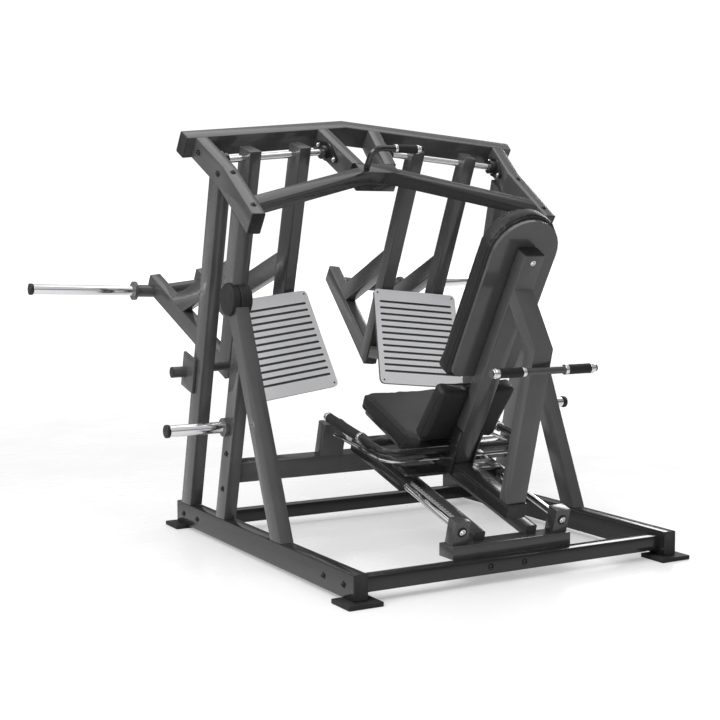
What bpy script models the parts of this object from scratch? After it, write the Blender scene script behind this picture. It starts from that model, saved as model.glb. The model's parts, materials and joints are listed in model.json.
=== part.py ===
"""Plate-loaded leg press with two independent overhead arms and a sliding seat.

Metres, +Z up. The user sits facing +Y. Every dimension below is told from a point on the floor, on the
centre plane, at the entry end of the base rails; the last lines move the machine so that the origin is
under the middle of its length. Pieces named "left" are on the -X side.
"""

import math

import bmesh
import bpy
from mathutils import Matrix, Vector

# ---------------------------------------------------------------- driving dimensions
GAP = 0.0003
MIDDLE_Y = 1.08435
TUBE_WIDTH = 0.060
TUBE_DEPTH = 0.100
TUBE_EDGE = 0.004
# A bar is drawn longer than it is by OVERRUN and then cut to its joint, or it runs BURIED into its neighbour.
OVERRUN = 0.250
BURIED = 0.020
# Bars that are welded in one body differ by WELD_STEP in depth and overlap by SEAM at a mitre, so that none
# of their faces lie in one plane.
WELD_STEP = 0.001
SEAM = 0.0002
CUTTER_REACH = 0.200

FOOT_THICKNESS = 0.018
FOOT_SIZE = (0.146, 0.136)
FOOT_OVERHANG = 0.044
RAIL_LENGTH = 1.670
RAIL_OUTER = 0.765
RAIL_CENTRE = RAIL_OUTER - TUBE_WIDTH / 2
RAIL_INNER = RAIL_OUTER - TUBE_WIDTH
RAIL_BOTTOM = FOOT_THICKNESS
RAIL_TOP = RAIL_BOTTOM + TUBE_DEPTH
RAIL_MIDDLE = (RAIL_TOP + RAIL_BOTTOM) / 2
FRONT_MEMBER_Y = 0.060
REAR_MEMBER_Y = 1.430

FRAME_TILT = math.radians(35)
CHEVRON = math.radians(10)
FRONT_SWEEP = math.radians(21.5)
TOP_APEX = Vector((0, 1.464, 1.877))
SIDE_BEAM_BEND = -0.430
SIDE_BEAM_FRONT = -0.779
BACK_BEAM_HALF = 0.869
INNER_BEAM_OFFSET = 0.117
FRONT_BEAM_SIZE = 0.060
FRONT_BEAM_ROOT = (0.050, -0.418)
CENTRE_BOX = (0.200, 0.075, 0.100)
CENTRE_BOX_FRONT = -0.448
TOP_HANDLE_FOOT = (-0.060, 0.035)
TOP_HANDLE_RISE = 0.105
TOP_HANDLE_LENGTH = 0.255
TOP_HANDLE_BEND = 0.045
TOP_GRIP = (0.120, 0.223)

HUB_CENTRE = (1.055, 1.074)
HUB_RADIUS = 0.070
HUB_LENGTH = 0.092
REAR_POST_FOOT_Y = 1.571
REAR_POST_LEAN = 0.247
FRONT_LEG_FOOT_Y = 0.640
REAR_LEG_FOOT_Y = 1.190
REAR_LEG_LEAN = 0.2566
UPPER_POST_FOOT_Y = 1.085
UPPER_POST_LEAN = 0.250
LEG_DEPTH = 0.090
REAR_LEG_TOP = 0.980
REAR_POST_TOP = 1.870
UPPER_POST_LENGTH = 0.500

SHAFT_RADIUS = 0.015
SHAFT_SPAN = (0.150, 0.735)
SHAFT_SETBACK = -0.173
SHAFT_DEPTH = 0.050
BEARING_LENGTH = 0.042
BOSS_RADIUS = 0.031
BOSS_BURIED = 0.010
BEARING_BOLTS = 0.130
FLANGE_EAR = 0.016
FLANGE_MIDDLE = 0.042
FLANGE_THICKNESS = 0.014
RUNNING_CLEARANCE = 0.00005
INNER_BEAM_FACE = INNER_BEAM_OFFSET + TUBE_WIDTH / 2
SIDE_BEAM_FACE = 0.7384

ARM_INNER = 0.308
ARM_OUTER = 0.575
ARM_MIDDLE = (ARM_INNER + ARM_OUTER) / 2
ARM_DEPTH = 0.090
ARM_LEAN = math.radians(19.6)
ARM_TOP = 0.040
ARM_LENGTH = 1.085
DIAGONAL_LEAN = math.radians(58.6)
DIAGONAL_TOP = Vector((0, 0.965, -0.568))
DIAGONAL_LENGTH = 0.830
STRUT_SLOPE = math.radians(19.8)
STRUT_HEIGHT = -0.4143
STRUT_LENGTH = 0.830
CROSS_TUBE_RADIUS = 0.030
LOW_TIE_SIZE = 0.059
LOW_TIE_FROM_END = 0.060
PLATE_SIZE = (0.430, 0.480)
PLATE_CENTRE = Vector((0, 0.0607, -0.849))
PLATE_TILT = math.radians(24.3)
PLATE_THICKNESS = 0.006
PLATE_CORNER = 0.022
BACKING_THICKNESS = 0.008
BACKING_CORNER = 0.024
RIB_DEPTH = 0.058
RIB_WIDTH = {"inner": 0.050, "outer": 0.028}
OUTER_RIB_INSET = 0.015
# Each rib runs from a distance down the hanger to a height up the backing sheet.
RIBS = {"low": (1.000, -0.110), "high": (0.700, 0.180)}
SLOT_COUNT = 12
SLOT_PITCH = 0.0322
SLOT_SIZE = (0.380, 0.011)

SLEEVE_RADIUS = 0.0245
HORN_START = 0.585
HORN_STUB_LENGTH = 0.110
HORN_FLANGE = (0.108, 0.124)
HORN_FLANGE_RADIUS = 0.046
HORN_CENTRE = Vector((0, 0.930, -0.612))
HORN_LENGTH = 0.640
HORN_TILT = math.radians(2)
STORAGE_HORN = (1.102, 0.527)
STORAGE_LENGTH = 0.280
COLLAR_RADIUS = 0.040
COLLAR_SPAN = (-0.010, 0.020)
STOP_CENTRE = (1.5245, 0.730)
STOP_RADIUS = 0.025
STOP_SPAN = (0.668, 0.840)
LUG_SPAN = (0.505, 0.690)
LUG_RADIUS = 0.020
STOP_BRACKET = (0.014, 0.130, 0.160)
STOP_BRACKET_BEHIND = 0.020
BUMPER_RADIUS = 0.034
BUMPER_FROM_POST = 0.010

ROD_X = 0.240
ROD_RADIUS = 0.015
ROD_NEAR = Vector((0, 0.080, 0.2025))
ROD_SLOPE = math.radians(16)
ROD_FIRST = 0.003
ROD_LENGTH = 1.075
NEAR_BLOCK = Vector((0.070, 0.055, 0.110))
NEAR_BLOCK_PLACE = (0.030, -0.012)
FAR_BLOCK = Vector((0.115, 0.056, 0.180))
FAR_BLOCK_PLACE = (1.045, -0.060)
END_BEAM_SIZE = (0.565, 0.100, 0.052)
END_BEAM_Y = 0.130
RAISED_BEAM = (1.130, 0.330)
GUIDE_RAIL_X = 0.125
GUIDE_RAIL_SIZE = 0.050
GUIDE_RAIL_LIFT = -0.055
GUIDE_RAIL_START = 0.040
GUIDE_RAIL_END_Y = 1.082
RACK_X = -0.205
RACK_LIFT = -0.010
RACK_DEPTH = 0.030
RACK_WIDTH = 0.012
RACK_SPAN = (0.0578, 1.0167)
RACK_NOTCHES = 40
RACK_FIRST = 0.120
RACK_PITCH = 0.020
NOTCH_SIZE = (0.010, 0.005)
CARRIAGE_SLEEVE = (0.440, 0.860)
SLEEVE_SIZE = 0.052
SPINE_SIZE = (0.090, 0.060)
SPINE_LIFT = 0.065
SPINE_HALF_HEIGHT = SPINE_SIZE[1] / 2
TIE_SIZE = (0.090, 0.012)
TIE_LIFT = 0.0305
TIE_FROM_END = 0.050
SPINE_SPAN = (0.000, 0.880)

SEAT_SLOPE = math.radians(21.5)
SEAT_SIZE = (0.420, 0.440, 0.070)
SEAT_TOP_FRONT = Vector((0, 0.925, 0.662))
BACK_LEAN = math.radians(30)
BACK_FOOT = Vector((0, 0.394, 0.809))
BACK_WIDTH = 0.340
BACK_LENGTH = 0.745
PAD_THICKNESS = 0.080
BOARD_THICKNESS = 0.015
BOARD_INSET = 0.020
TUBE_BEHIND = 0.128
SEAT_RAIL = (0.080, 0.040)
SEAT_RAIL_UNDER = 0.018
SEAT_RAIL_SPAN = (0.030, 0.400)
SEAT_POST_SIZE = 0.060
SEAT_POST_BACK = 0.080
CHEEK = (0.008, 0.062)
CHEEK_DISTANCE = 0.430
CHEEK_HEAD = -0.220
BACK_TUBE_SPAN = (-0.500, 0.610)
PACKER = (0.070, 0.020)
PACKER_BEHIND = 0.100
PACKER_SPAN = (0.030, 0.600)
PROP_HEAD = 0.440
PROP_BEND = Vector((0, -0.075, 0.905))
PROP_FOOT = 0.035
MITRE_OVERRUN = 0.050
PAD_CORNER = 0.035
BOLSTER_CORNER = 0.030
SEAT_CORNER = 0.030
SEAT_CHAMFER = 0.055
PAD_BEVEL = 0.013
BOLSTER_FOOT = Vector((0, 0.540, 0.530))
BOLSTER_LEAN = math.radians(38)
BOLSTER_SIZE = (0.380, 0.292, 0.067)

HANDLE_TUBE_RADIUS = 0.0140
GRIP_RADIUS = 0.0190
HANDLEBAR = (-0.1100, 0.830)
HANDLEBAR_HALF = 0.245
BACK_GRIP = (0.106, 0.214)
SIDE_HANDLE_HALF = 0.350
SIDE_HANDLE_AXIS = (0.462, 0.462)
SIDE_HANDLE_TIP = (0.975, 0.561)
SIDE_TUBE_RADIUS = 0.0150
SIDE_GRIP_RADIUS = 0.0215
SIDE_GRIP_LENGTH = 0.270
SIDE_GRIP_FROM_TIP = 0.030
HANDLE_BEND = 0.070
RELEASE_AXIS = (0.462, 0.428)
RELEASE_TIP = (0.900, 0.490)
RELEASE_RADIUS = 0.007
PAWL_DISTANCE = 0.6012
PAWL_LIFT = 0.0006
PAWL_ARM = (0.008, 0.012)
PAWL_TOOTH = (0.0084, 0.007)
PAWL_KNEE = 0.024

LEFT, RIGHT = -1, 1
SIDE_NAMES = {LEFT: "left", RIGHT: "right"}
ROUND_STEPS = 24
BORE_STEPS = 32


# ---------------------------------------------------------------- scene, collections, materials
def clear_scene():
    for old in list(bpy.data.objects):
        bpy.data.objects.remove(old, do_unlink=True)


def new_collection(name):
    collection = bpy.data.collections.new(name)
    bpy.context.scene.collection.children.link(collection)
    return collection


def new_material(name, colour, roughness, metallic):
    material = bpy.data.materials.new(name)
    material.use_nodes = True
    shader = material.node_tree.nodes["Principled BSDF"]
    shader.inputs["Base Color"].default_value = (*colour, 1)
    shader.inputs["Roughness"].default_value = roughness
    shader.inputs["Metallic"].default_value = metallic
    return material


clear_scene()
PARTS = new_collection("leg_press")
CUTTERS = new_collection("cutters")
BLACK_PAINT = new_material("gloss_black_paint", (0.020, 0.020, 0.022), 0.18, 0.3)
GREY_PAINT = new_material("dark_grey_paint", (0.060, 0.060, 0.064), 0.22, 0.3)
CHROME = new_material("chrome", (0.80, 0.80, 0.82), 0.06, 1.0)
BRUSHED = new_material("satin_steel", (0.62, 0.62, 0.63), 0.35, 0.9)
RUBBER = new_material("black_rubber", (0.015, 0.015, 0.016), 0.60, 0.0)
LEATHERETTE = new_material("black_leatherette", (0.018, 0.018, 0.019), 0.45, 0.0)


def add_object(name, data, material, matrix, parent=None):
    """Links a mesh or curve as one part, placed by its matrix in its parent's frame."""
    data.materials.append(material)
    piece = bpy.data.objects.new(name, data)
    PARTS.objects.link(piece)
    piece.parent = parent
    piece.matrix_local = matrix
    return piece


def make_helper(piece):
    """Turns a part into a cutter: it shapes others and isn't a part itself."""
    PARTS.objects.unlink(piece)
    CUTTERS.objects.link(piece)
    piece.hide_render = True
    piece.display_type = "WIRE"


def boolean(piece, other, operation):
    modifier = piece.modifiers.new(f"{operation}_{other.name}"[:60], "BOOLEAN")
    modifier.operation = operation
    modifier.solver = "EXACT"
    modifier.object = other
    if other.name in PARTS.objects:
        make_helper(other)


def weld(piece, *others):
    for other in others:
        boolean(piece, other, "UNION")
    return piece


def cut(piece, *cutters):
    for cutter in cutters:
        boolean(piece, cutter, "DIFFERENCE")
    return piece


# ---------------------------------------------------------------- frames of reference
def frame_matrix(origin, x_axis, y_axis):
    x_axis = x_axis.normalized()
    z_axis = x_axis.cross(y_axis).normalized()
    y_axis = z_axis.cross(x_axis)
    rotation = Matrix((x_axis, y_axis, z_axis)).transposed()
    return Matrix.Translation(origin) @ rotation.to_4x4()


def along_matrix(start, end, side):
    """A frame at the middle of start-end: Z runs along, X is as near as it can be to side."""
    along = (end - start).normalized()
    across = (side - along * side.dot(along)).normalized()
    return frame_matrix((start + end) / 2, across, along.cross(across))


def empty_frame(name, matrix):
    empty = bpy.data.objects.new(name, None)
    PARTS.objects.link(empty)
    empty.matrix_local = matrix
    return empty


def axis_point(side, y, z):
    return Vector((side * RAIL_CENTRE, y, z))


X, Y, Z = Vector((1, 0, 0)), Vector((0, 1, 0)), Vector((0, 0, 1))


# ---------------------------------------------------------------- basic shapes
def bar(name, start, end, width, depth, side, material, parent=None, cuts=(), edge=TUBE_EDGE):
    """A rectangular tube from start to end. Each cut is (point, outward normal) in the parent's frame."""
    matrix = along_matrix(start, end, side)
    mesh = bmesh.new()
    bmesh.ops.create_cube(mesh, size=1, matrix=Matrix.Diagonal((width, depth, (end - start).length, 1)))
    long_edges = [e for e in mesh.edges if abs((e.verts[0].co - e.verts[1].co).normalized().z) > 0.9]
    if edge:
        bmesh.ops.bevel(mesh, geom=long_edges, offset=edge, segments=2, affect="EDGES", profile=0.5)
    to_local = matrix.inverted()
    for point, normal in cuts:
        bmesh.ops.bisect_plane(
            mesh,
            geom=mesh.verts[:] + mesh.edges[:] + mesh.faces[:],
            plane_co=to_local @ point,
            plane_no=(to_local.to_3x3() @ normal).normalized(),
            clear_outer=True,
        )
        open_edges = [e for e in mesh.edges if e.is_boundary]
        bmesh.ops.holes_fill(mesh, edges=open_edges, sides=0)
    bmesh.ops.recalc_face_normals(mesh, faces=mesh.faces[:])
    data = bpy.data.meshes.new(name)
    mesh.to_mesh(data)
    mesh.free()
    return add_object(name, data, material, matrix, parent)


def block(name, centre, size, material, parent=None, edge=0.003, turn=None):
    mesh = bmesh.new()
    bmesh.ops.create_cube(mesh, size=1, matrix=Matrix.Diagonal((*size, 1)))
    if edge:
        bmesh.ops.bevel(mesh, geom=mesh.edges[:], offset=edge, segments=2, affect="EDGES", profile=0.5)
    data = bpy.data.meshes.new(name)
    mesh.to_mesh(data)
    mesh.free()
    matrix = Matrix.Translation(centre)
    if turn is not None:
        matrix = matrix @ turn
    return add_object(name, data, material, matrix, parent)


def rod(name, start, end, radius, material, parent=None, steps=ROUND_STEPS, side=X, turned=0.0):
    """A round bar from start to end, with its first facet corner along side, or half a step from it."""
    if abs((end - start).normalized().dot(side)) > 0.9:
        side = Y
    matrix = along_matrix(start, end, side) @ Matrix.Rotation(turned, 4, "Z")
    mesh = bmesh.new()
    length = (end - start).length
    bmesh.ops.create_cone(
        mesh, cap_ends=True, segments=steps, radius1=radius, radius2=radius, depth=length
    )
    data = bpy.data.meshes.new(name)
    mesh.to_mesh(data)
    mesh.free()
    data.shade_smooth()
    data.set_sharp_from_angle(angle=math.radians(40))
    return add_object(name, data, material, matrix, parent)


def arc(centre, radius, first, last, steps):
    return [
        (
            centre[0] + radius * math.cos(first + (last - first) * i / steps),
            centre[1] + radius * math.sin(first + (last - first) * i / steps),
        )
        for i in range(steps + 1)
    ]


def rounded_outline(width, height, radius, steps=4):
    half_x, half_y = width / 2 - radius, height / 2 - radius
    corners = ((half_x, half_y), (-half_x, half_y), (-half_x, -half_y), (half_x, -half_y))
    outline = []
    for number, corner in enumerate(corners):
        start = number * math.pi / 2
        outline += arc(corner, radius, start, start + math.pi / 2, steps)
    return outline


def sheet_mesh(name, outlines, thickness):
    """A flat plate in XY, centred on Z = 0; the first outline is the rim and the others are holes."""
    curve = bpy.data.curves.new(name, "CURVE")
    curve.dimensions = "2D"
    curve.fill_mode = "BOTH"
    curve.extrude = thickness / 2
    for outline in outlines:
        spline = curve.splines.new("POLY")
        spline.points.add(len(outline) - 1)
        for point, (x, y) in zip(spline.points, outline):
            point.co = (x, y, 0, 1)
        spline.use_cyclic_u = True
    return curve_to_mesh(name, curve)


def curve_to_mesh(name, curve):
    guide = bpy.data.objects.new(name + "_guide", curve)
    CUTTERS.objects.link(guide)
    graph = bpy.context.evaluated_depsgraph_get()
    data = bpy.data.meshes.new_from_object(guide.evaluated_get(graph))
    bpy.data.objects.remove(guide, do_unlink=True)
    mesh = bmesh.new()
    mesh.from_mesh(data)
    bmesh.ops.remove_doubles(mesh, verts=mesh.verts[:], dist=0.00001)
    bmesh.ops.recalc_face_normals(mesh, faces=mesh.faces[:])
    mesh.to_mesh(data)
    mesh.free()
    data.name = name
    return data


def plate(name, outlines, thickness, material, matrix, parent=None):
    return add_object(name, sheet_mesh(name, outlines, thickness), material, matrix, parent)


def fillet_path(points, radius, steps=5):
    """The corner points of a bent tube, with each inner corner replaced by an arc of the bend radius."""
    path = [points[0]]
    for before, corner, after in zip(points, points[1:], points[2:]):
        into, out = (corner - before).normalized(), (after - corner).normalized()
        half = into.angle(out) / 2
        reach = radius * math.tan(half)
        centre = corner + (out - into).normalized() * radius / math.cos(half)
        spoke = corner - into * reach - centre
        turn = into.cross(out).normalized()
        for step in range(steps + 1):
            path.append(centre + Matrix.Rotation(2 * half * step / steps, 3, turn) @ spoke)
    path.append(points[-1])
    return path


def bent_tube(name, points, radius, bend, material, parent=None, resolution=3):
    curve = bpy.data.curves.new(name, "CURVE")
    curve.dimensions = "3D"
    curve.bevel_depth = radius
    curve.bevel_resolution = resolution
    curve.use_fill_caps = True
    path = fillet_path(points, bend)
    spline = curve.splines.new("POLY")
    spline.points.add(len(path) - 1)
    for point, place in zip(spline.points, path):
        point.co = (*place, 1)
    data = curve_to_mesh(name, curve)
    data.shade_smooth()
    data.set_sharp_from_angle(angle=math.radians(40))
    return add_object(name, data, material, Matrix.Identity(4), parent)


def bore_radius(shaft_radius):
    """The corner radius of a faceted bore whose flats clear a turning or sliding shaft."""
    return (shaft_radius + RUNNING_CLEARANCE) / math.cos(math.pi / BORE_STEPS)


# ---------------------------------------------------------------- base
def build_base():
    for side, word in SIDE_NAMES.items():
        bar(
            f"base_rail_{word}",
            axis_point(side, 0, RAIL_MIDDLE),
            axis_point(side, RAIL_LENGTH, RAIL_MIDDLE),
            TUBE_WIDTH,
            TUBE_DEPTH - 2 * GAP,
            X,
            BLACK_PAINT,
        )
        near_y = FOOT_SIZE[1] / 2 - FOOT_OVERHANG
        for end, foot_y in (("front", near_y), ("rear", RAIL_LENGTH - near_y)):
            block(
                f"foot_{end}_{word}",
                axis_point(side, foot_y, FOOT_THICKNESS / 2),
                (*FOOT_SIZE, FOOT_THICKNESS),
                RUBBER,
            )
    for name, member_y in (("front_cross_member", FRONT_MEMBER_Y), ("rear_cross_member", REAR_MEMBER_Y)):
        half = RAIL_INNER - GAP
        bar(
            name,
            Vector((-half, member_y, RAIL_MIDDLE)),
            Vector((half, member_y, RAIL_MIDDLE)),
            TUBE_WIDTH,
            TUBE_WIDTH,
            Y,
            BLACK_PAINT,
        )


# ---------------------------------------------------------------- side frames
def lean_line(side, foot_y, lean, z):
    return axis_point(side, foot_y - lean * (z - RAIL_TOP), z)


def top_plane_point(x, s, depth):
    """A point in the tilted top frame: s runs up the slope from the back apex, depth runs below its face."""
    along = Vector((0, math.cos(FRAME_TILT), math.sin(FRAME_TILT)))
    below = Vector((0, math.sin(FRAME_TILT), -math.cos(FRAME_TILT)))
    return TOP_APEX + X * x + along * s + below * depth


def build_side_frame(side, word):
    floor_cut = (Vector((0, 0, RAIL_TOP + GAP)), -Z)
    normal = Vector((0, -math.sin(FRAME_TILT), math.cos(FRAME_TILT)))
    beam_cut = (top_plane_point(0, 0, TUBE_DEPTH + GAP), normal)

    rear_foot = lean_line(side, REAR_POST_FOOT_Y, REAR_POST_LEAN, RAIL_BOTTOM)
    rear_top = lean_line(side, REAR_POST_FOOT_Y, REAR_POST_LEAN, REAR_POST_TOP)
    bar(f"rear_post_{word}", rear_foot, rear_top, TUBE_WIDTH, TUBE_DEPTH, X, GREY_PAINT,
        cuts=(floor_cut, beam_cut))

    hub = axis_point(side, *HUB_CENTRE)
    hub_half = X * HUB_LENGTH / 2
    hub_cutter = rod(f"hub_cutter_{word}", hub - hub_half, hub + hub_half, HUB_RADIUS + GAP, BLACK_PAINT,
                     steps=32)
    make_helper(hub_cutter)
    rod(f"frame_hub_{word}", hub - hub_half, hub + hub_half, HUB_RADIUS, RUBBER, steps=32)

    front_foot = axis_point(side, FRONT_LEG_FOOT_Y, RAIL_TOP)
    up = (hub - front_foot).normalized()
    front_leg = bar(f"a_frame_{word}", front_foot - up * OVERRUN, hub, TUBE_WIDTH, LEG_DEPTH, X, GREY_PAINT,
                    cuts=(floor_cut,))
    rearward = up.cross(X)
    lower = lean_line(side, REAR_LEG_FOOT_Y, REAR_LEG_LEAN, 0.0)
    upper = lean_line(side, REAR_LEG_FOOT_Y, REAR_LEG_LEAN, REAR_LEG_TOP)
    rear_leg = bar(f"rear_leg_{word}", lower, upper, TUBE_WIDTH - WELD_STEP, LEG_DEPTH, X, GREY_PAINT,
                   cuts=(floor_cut, (front_foot + rearward * BURIED, -rearward)))
    horn = Vector((side * RAIL_OUTER, *STORAGE_HORN))
    out = X * side
    collar = rod(f"storage_collar_{word}", horn + out * COLLAR_SPAN[0], horn + out * COLLAR_SPAN[1],
                 COLLAR_RADIUS, BLACK_PAINT)
    weld(front_leg, rear_leg, collar)
    cut(front_leg, hub_cutter)
    rod(f"storage_horn_{word}", horn + out * (COLLAR_SPAN[1] + GAP), horn + out * STORAGE_LENGTH, SLEEVE_RADIUS,
        CHROME)

    post_foot = axis_point(side, UPPER_POST_FOOT_Y, HUB_CENTRE[1])
    post_top = post_foot + (Z - Y * UPPER_POST_LEAN) * UPPER_POST_LENGTH
    upper_post = bar(f"upper_post_{word}", post_foot, post_top, TUBE_WIDTH, LEG_DEPTH, X, GREY_PAINT,
                     cuts=(beam_cut,))
    cut(upper_post, hub_cutter)


def build_stop(side, word):
    centre = Vector((0, *STOP_CENTRE))
    outer, inner = side * STOP_SPAN[1], side * STOP_SPAN[0]
    stop = rod(f"arm_stop_{word}", centre + X * inner, centre + X * outer, STOP_RADIUS, GREY_PAINT)
    bracket_x = side * (RAIL_OUTER + STOP_BRACKET[0] / 2 + WELD_STEP)
    lean = Matrix.Rotation(math.atan(REAR_POST_LEAN), 4, "X")
    post_rear = lean_line(side, REAR_POST_FOOT_Y, REAR_POST_LEAN, STOP_CENTRE[1])
    rear_y = post_rear.y + TUBE_DEPTH / 2 / math.cos(math.atan(REAR_POST_LEAN))
    bracket = block(f"stop_bracket_{word}", Vector((bracket_x, rear_y + STOP_BRACKET_BEHIND, STOP_CENTRE[1])),
                    STOP_BRACKET, GREY_PAINT, turn=lean)
    weld(stop, bracket)
    post_cutter = bar(f"stop_post_cutter_{word}",
                      lean_line(side, REAR_POST_FOOT_Y, REAR_POST_LEAN, STOP_CENTRE[1] - CUTTER_REACH),
                      lean_line(side, REAR_POST_FOOT_Y, REAR_POST_LEAN, STOP_CENTRE[1] + CUTTER_REACH),
                      TUBE_WIDTH + 2 * GAP, TUBE_DEPTH + 2 * GAP, X, BLACK_PAINT, edge=0)
    cut(stop, post_cutter)
    bumper_outer = side * (RAIL_INNER - BUMPER_FROM_POST)
    bumper = rod(f"stop_bumper_{word}", centre + X * inner, centre + X * bumper_outer, BUMPER_RADIUS, RUBBER)
    reach = X * side * BURIED
    bore = rod(f"bumper_bore_{word}", centre + X * inner - reach, centre + X * bumper_outer + reach,
               STOP_RADIUS + GAP, RUBBER)
    cut(bumper, bore)


# ---------------------------------------------------------------- top frame
def build_top_frame():
    tilt = Matrix.Translation(TOP_APEX) @ Matrix.Rotation(FRAME_TILT, 4, "X")
    plane = empty_frame("top_frame_plane", tilt)
    middle = -Z * TUBE_DEPTH / 2

    halves = []
    for side, word in SIDE_NAMES.items():
        along = Vector((side * math.cos(CHEVRON), -math.sin(CHEVRON), 0))
        inward = Vector((-side * math.sin(CHEVRON), -math.cos(CHEVRON), 0))
        start = inward * TUBE_WIDTH / 2 + middle
        depth = TUBE_DEPTH if side == RIGHT else TUBE_DEPTH + WELD_STEP
        halves.append(bar(f"back_beam_{word}", start - along * MITRE_OVERRUN, start + along * BACK_BEAM_HALF,
                          TUBE_WIDTH, depth, inward, GREY_PAINT, plane,
                          cuts=((-X * side * SEAM, -X * side),)))
    weld(halves[0], halves[1])
    halves[0].name = "back_beam"

    for side, word in SIDE_NAMES.items():
        build_side_beam(plane, side, word)
        build_inner_beam(plane, side, word)
    build_front_beam(plane)
    return plane


def back_beam_front(side):
    """(point, normal) of the back beam's front face on one side, with the fitting gap."""
    inward = Vector((-side * math.sin(CHEVRON), -math.cos(CHEVRON), 0))
    return inward * (TUBE_WIDTH + GAP), -inward


def build_side_beam(plane, side, word):
    middle = -Z * TUBE_DEPTH / 2
    bend = Vector((side * RAIL_CENTRE, SIDE_BEAM_BEND, 0)) + middle
    front = Vector((side * RAIL_CENTRE, SIDE_BEAM_FRONT, 0)) + middle
    upward = Vector((side * math.sin(CHEVRON), math.cos(CHEVRON), 0))
    mitre = Vector((side * math.sin(CHEVRON / 2), math.cos(CHEVRON / 2), 0))
    straight = bar(f"side_beam_{word}", front, bend + Y * MITRE_OVERRUN, TUBE_WIDTH, TUBE_DEPTH, X, GREY_PAINT,
                   plane, cuts=((bend + mitre * SEAM, mitre),))
    rear = bar(f"side_beam_rear_{word}", bend - upward * MITRE_OVERRUN, bend - upward * SIDE_BEAM_BEND, TUBE_WIDTH,
               TUBE_DEPTH - WELD_STEP, X, GREY_PAINT, plane,
               cuts=(back_beam_front(side), (bend - mitre * SEAM, -mitre)))
    weld(straight, rear)


def build_inner_beam(plane, side, word):
    middle = -Z * TUBE_DEPTH / 2
    upward = Vector((side * math.sin(CHEVRON), math.cos(CHEVRON), 0))
    across = Vector((side * math.cos(CHEVRON), -math.sin(CHEVRON), 0))
    reach = upward * abs(SIDE_BEAM_BEND)
    shaft_foot = Vector((0, SHAFT_SETBACK, 0))
    line = shaft_foot + across * INNER_BEAM_OFFSET + middle
    box_back = CENTRE_BOX_FRONT + CENTRE_BOX[1] + GAP
    bar(f"inner_beam_{word}", line - reach, line + reach, TUBE_WIDTH, TUBE_DEPTH - WELD_STEP, X, GREY_PAINT, plane,
        cuts=(back_beam_front(side), (Y * box_back, -Y), (X * side * WELD_STEP, -X * side)))


def build_front_beam(plane):
    _, length, depth = CENTRE_BOX
    root_x, root_s = FRONT_BEAM_ROOT
    centre = Vector((0, CENTRE_BOX_FRONT + length / 2, -depth / 2))
    box = block("front_beam", centre, CENTRE_BOX, GREY_PAINT, plane)
    arms = []
    for side, word in SIDE_NAMES.items():
        along = Vector((side * math.cos(FRONT_SWEEP), -math.sin(FRONT_SWEEP), 0))
        start = Vector((side * root_x, root_s, -FRONT_BEAM_SIZE / 2 - WELD_STEP))
        end_cut = (X * side * (RAIL_INNER - GAP), X * side)
        arms.append(bar(f"front_beam_{word}", start, start + along * BACK_BEAM_HALF, FRONT_BEAM_SIZE,
                        FRONT_BEAM_SIZE, Y, GREY_PAINT, plane, cuts=(end_cut,)))
    weld(box, *arms)
    build_top_handle(plane)


def build_top_handle(plane):
    rise = plane.matrix_local.to_3x3().inverted() @ Z
    foot = Vector((TOP_HANDLE_FOOT[0], CENTRE_BOX_FRONT + TOP_HANDLE_FOOT[1], 0))
    elbow = foot + rise * TOP_HANDLE_RISE
    tip = elbow + X * TOP_HANDLE_LENGTH
    handle = bent_tube("top_handle", [foot - rise * BURIED, elbow, tip], HANDLE_TUBE_RADIUS, TOP_HANDLE_BEND,
                       GREY_PAINT, plane)
    _, length, depth = CENTRE_BOX
    cut(handle, block("handle_seat", Vector((0, CENTRE_BOX_FRONT + length / 2, GAP - depth / 2)), CENTRE_BOX,
                      GREY_PAINT, plane, edge=0))
    hand_grip("top_handle_grip", elbow + X * TOP_GRIP[0], elbow + X * TOP_GRIP[1], GRIP_RADIUS, HANDLE_TUBE_RADIUS,
              plane)


# ---------------------------------------------------------------- arms
def arm_frame_matrix(side):
    """Hinge frame of one arm: X along the shaft, Z as near upright as the shaft allows."""
    shaft = Vector((
        math.cos(CHEVRON),
        -side * math.sin(CHEVRON) * math.cos(FRAME_TILT),
        -side * math.sin(CHEVRON) * math.sin(FRAME_TILT),
    ))
    origin = top_plane_point(0, SHAFT_SETBACK, SHAFT_DEPTH)
    return frame_matrix(origin, shaft, Z.cross(shaft))


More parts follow.
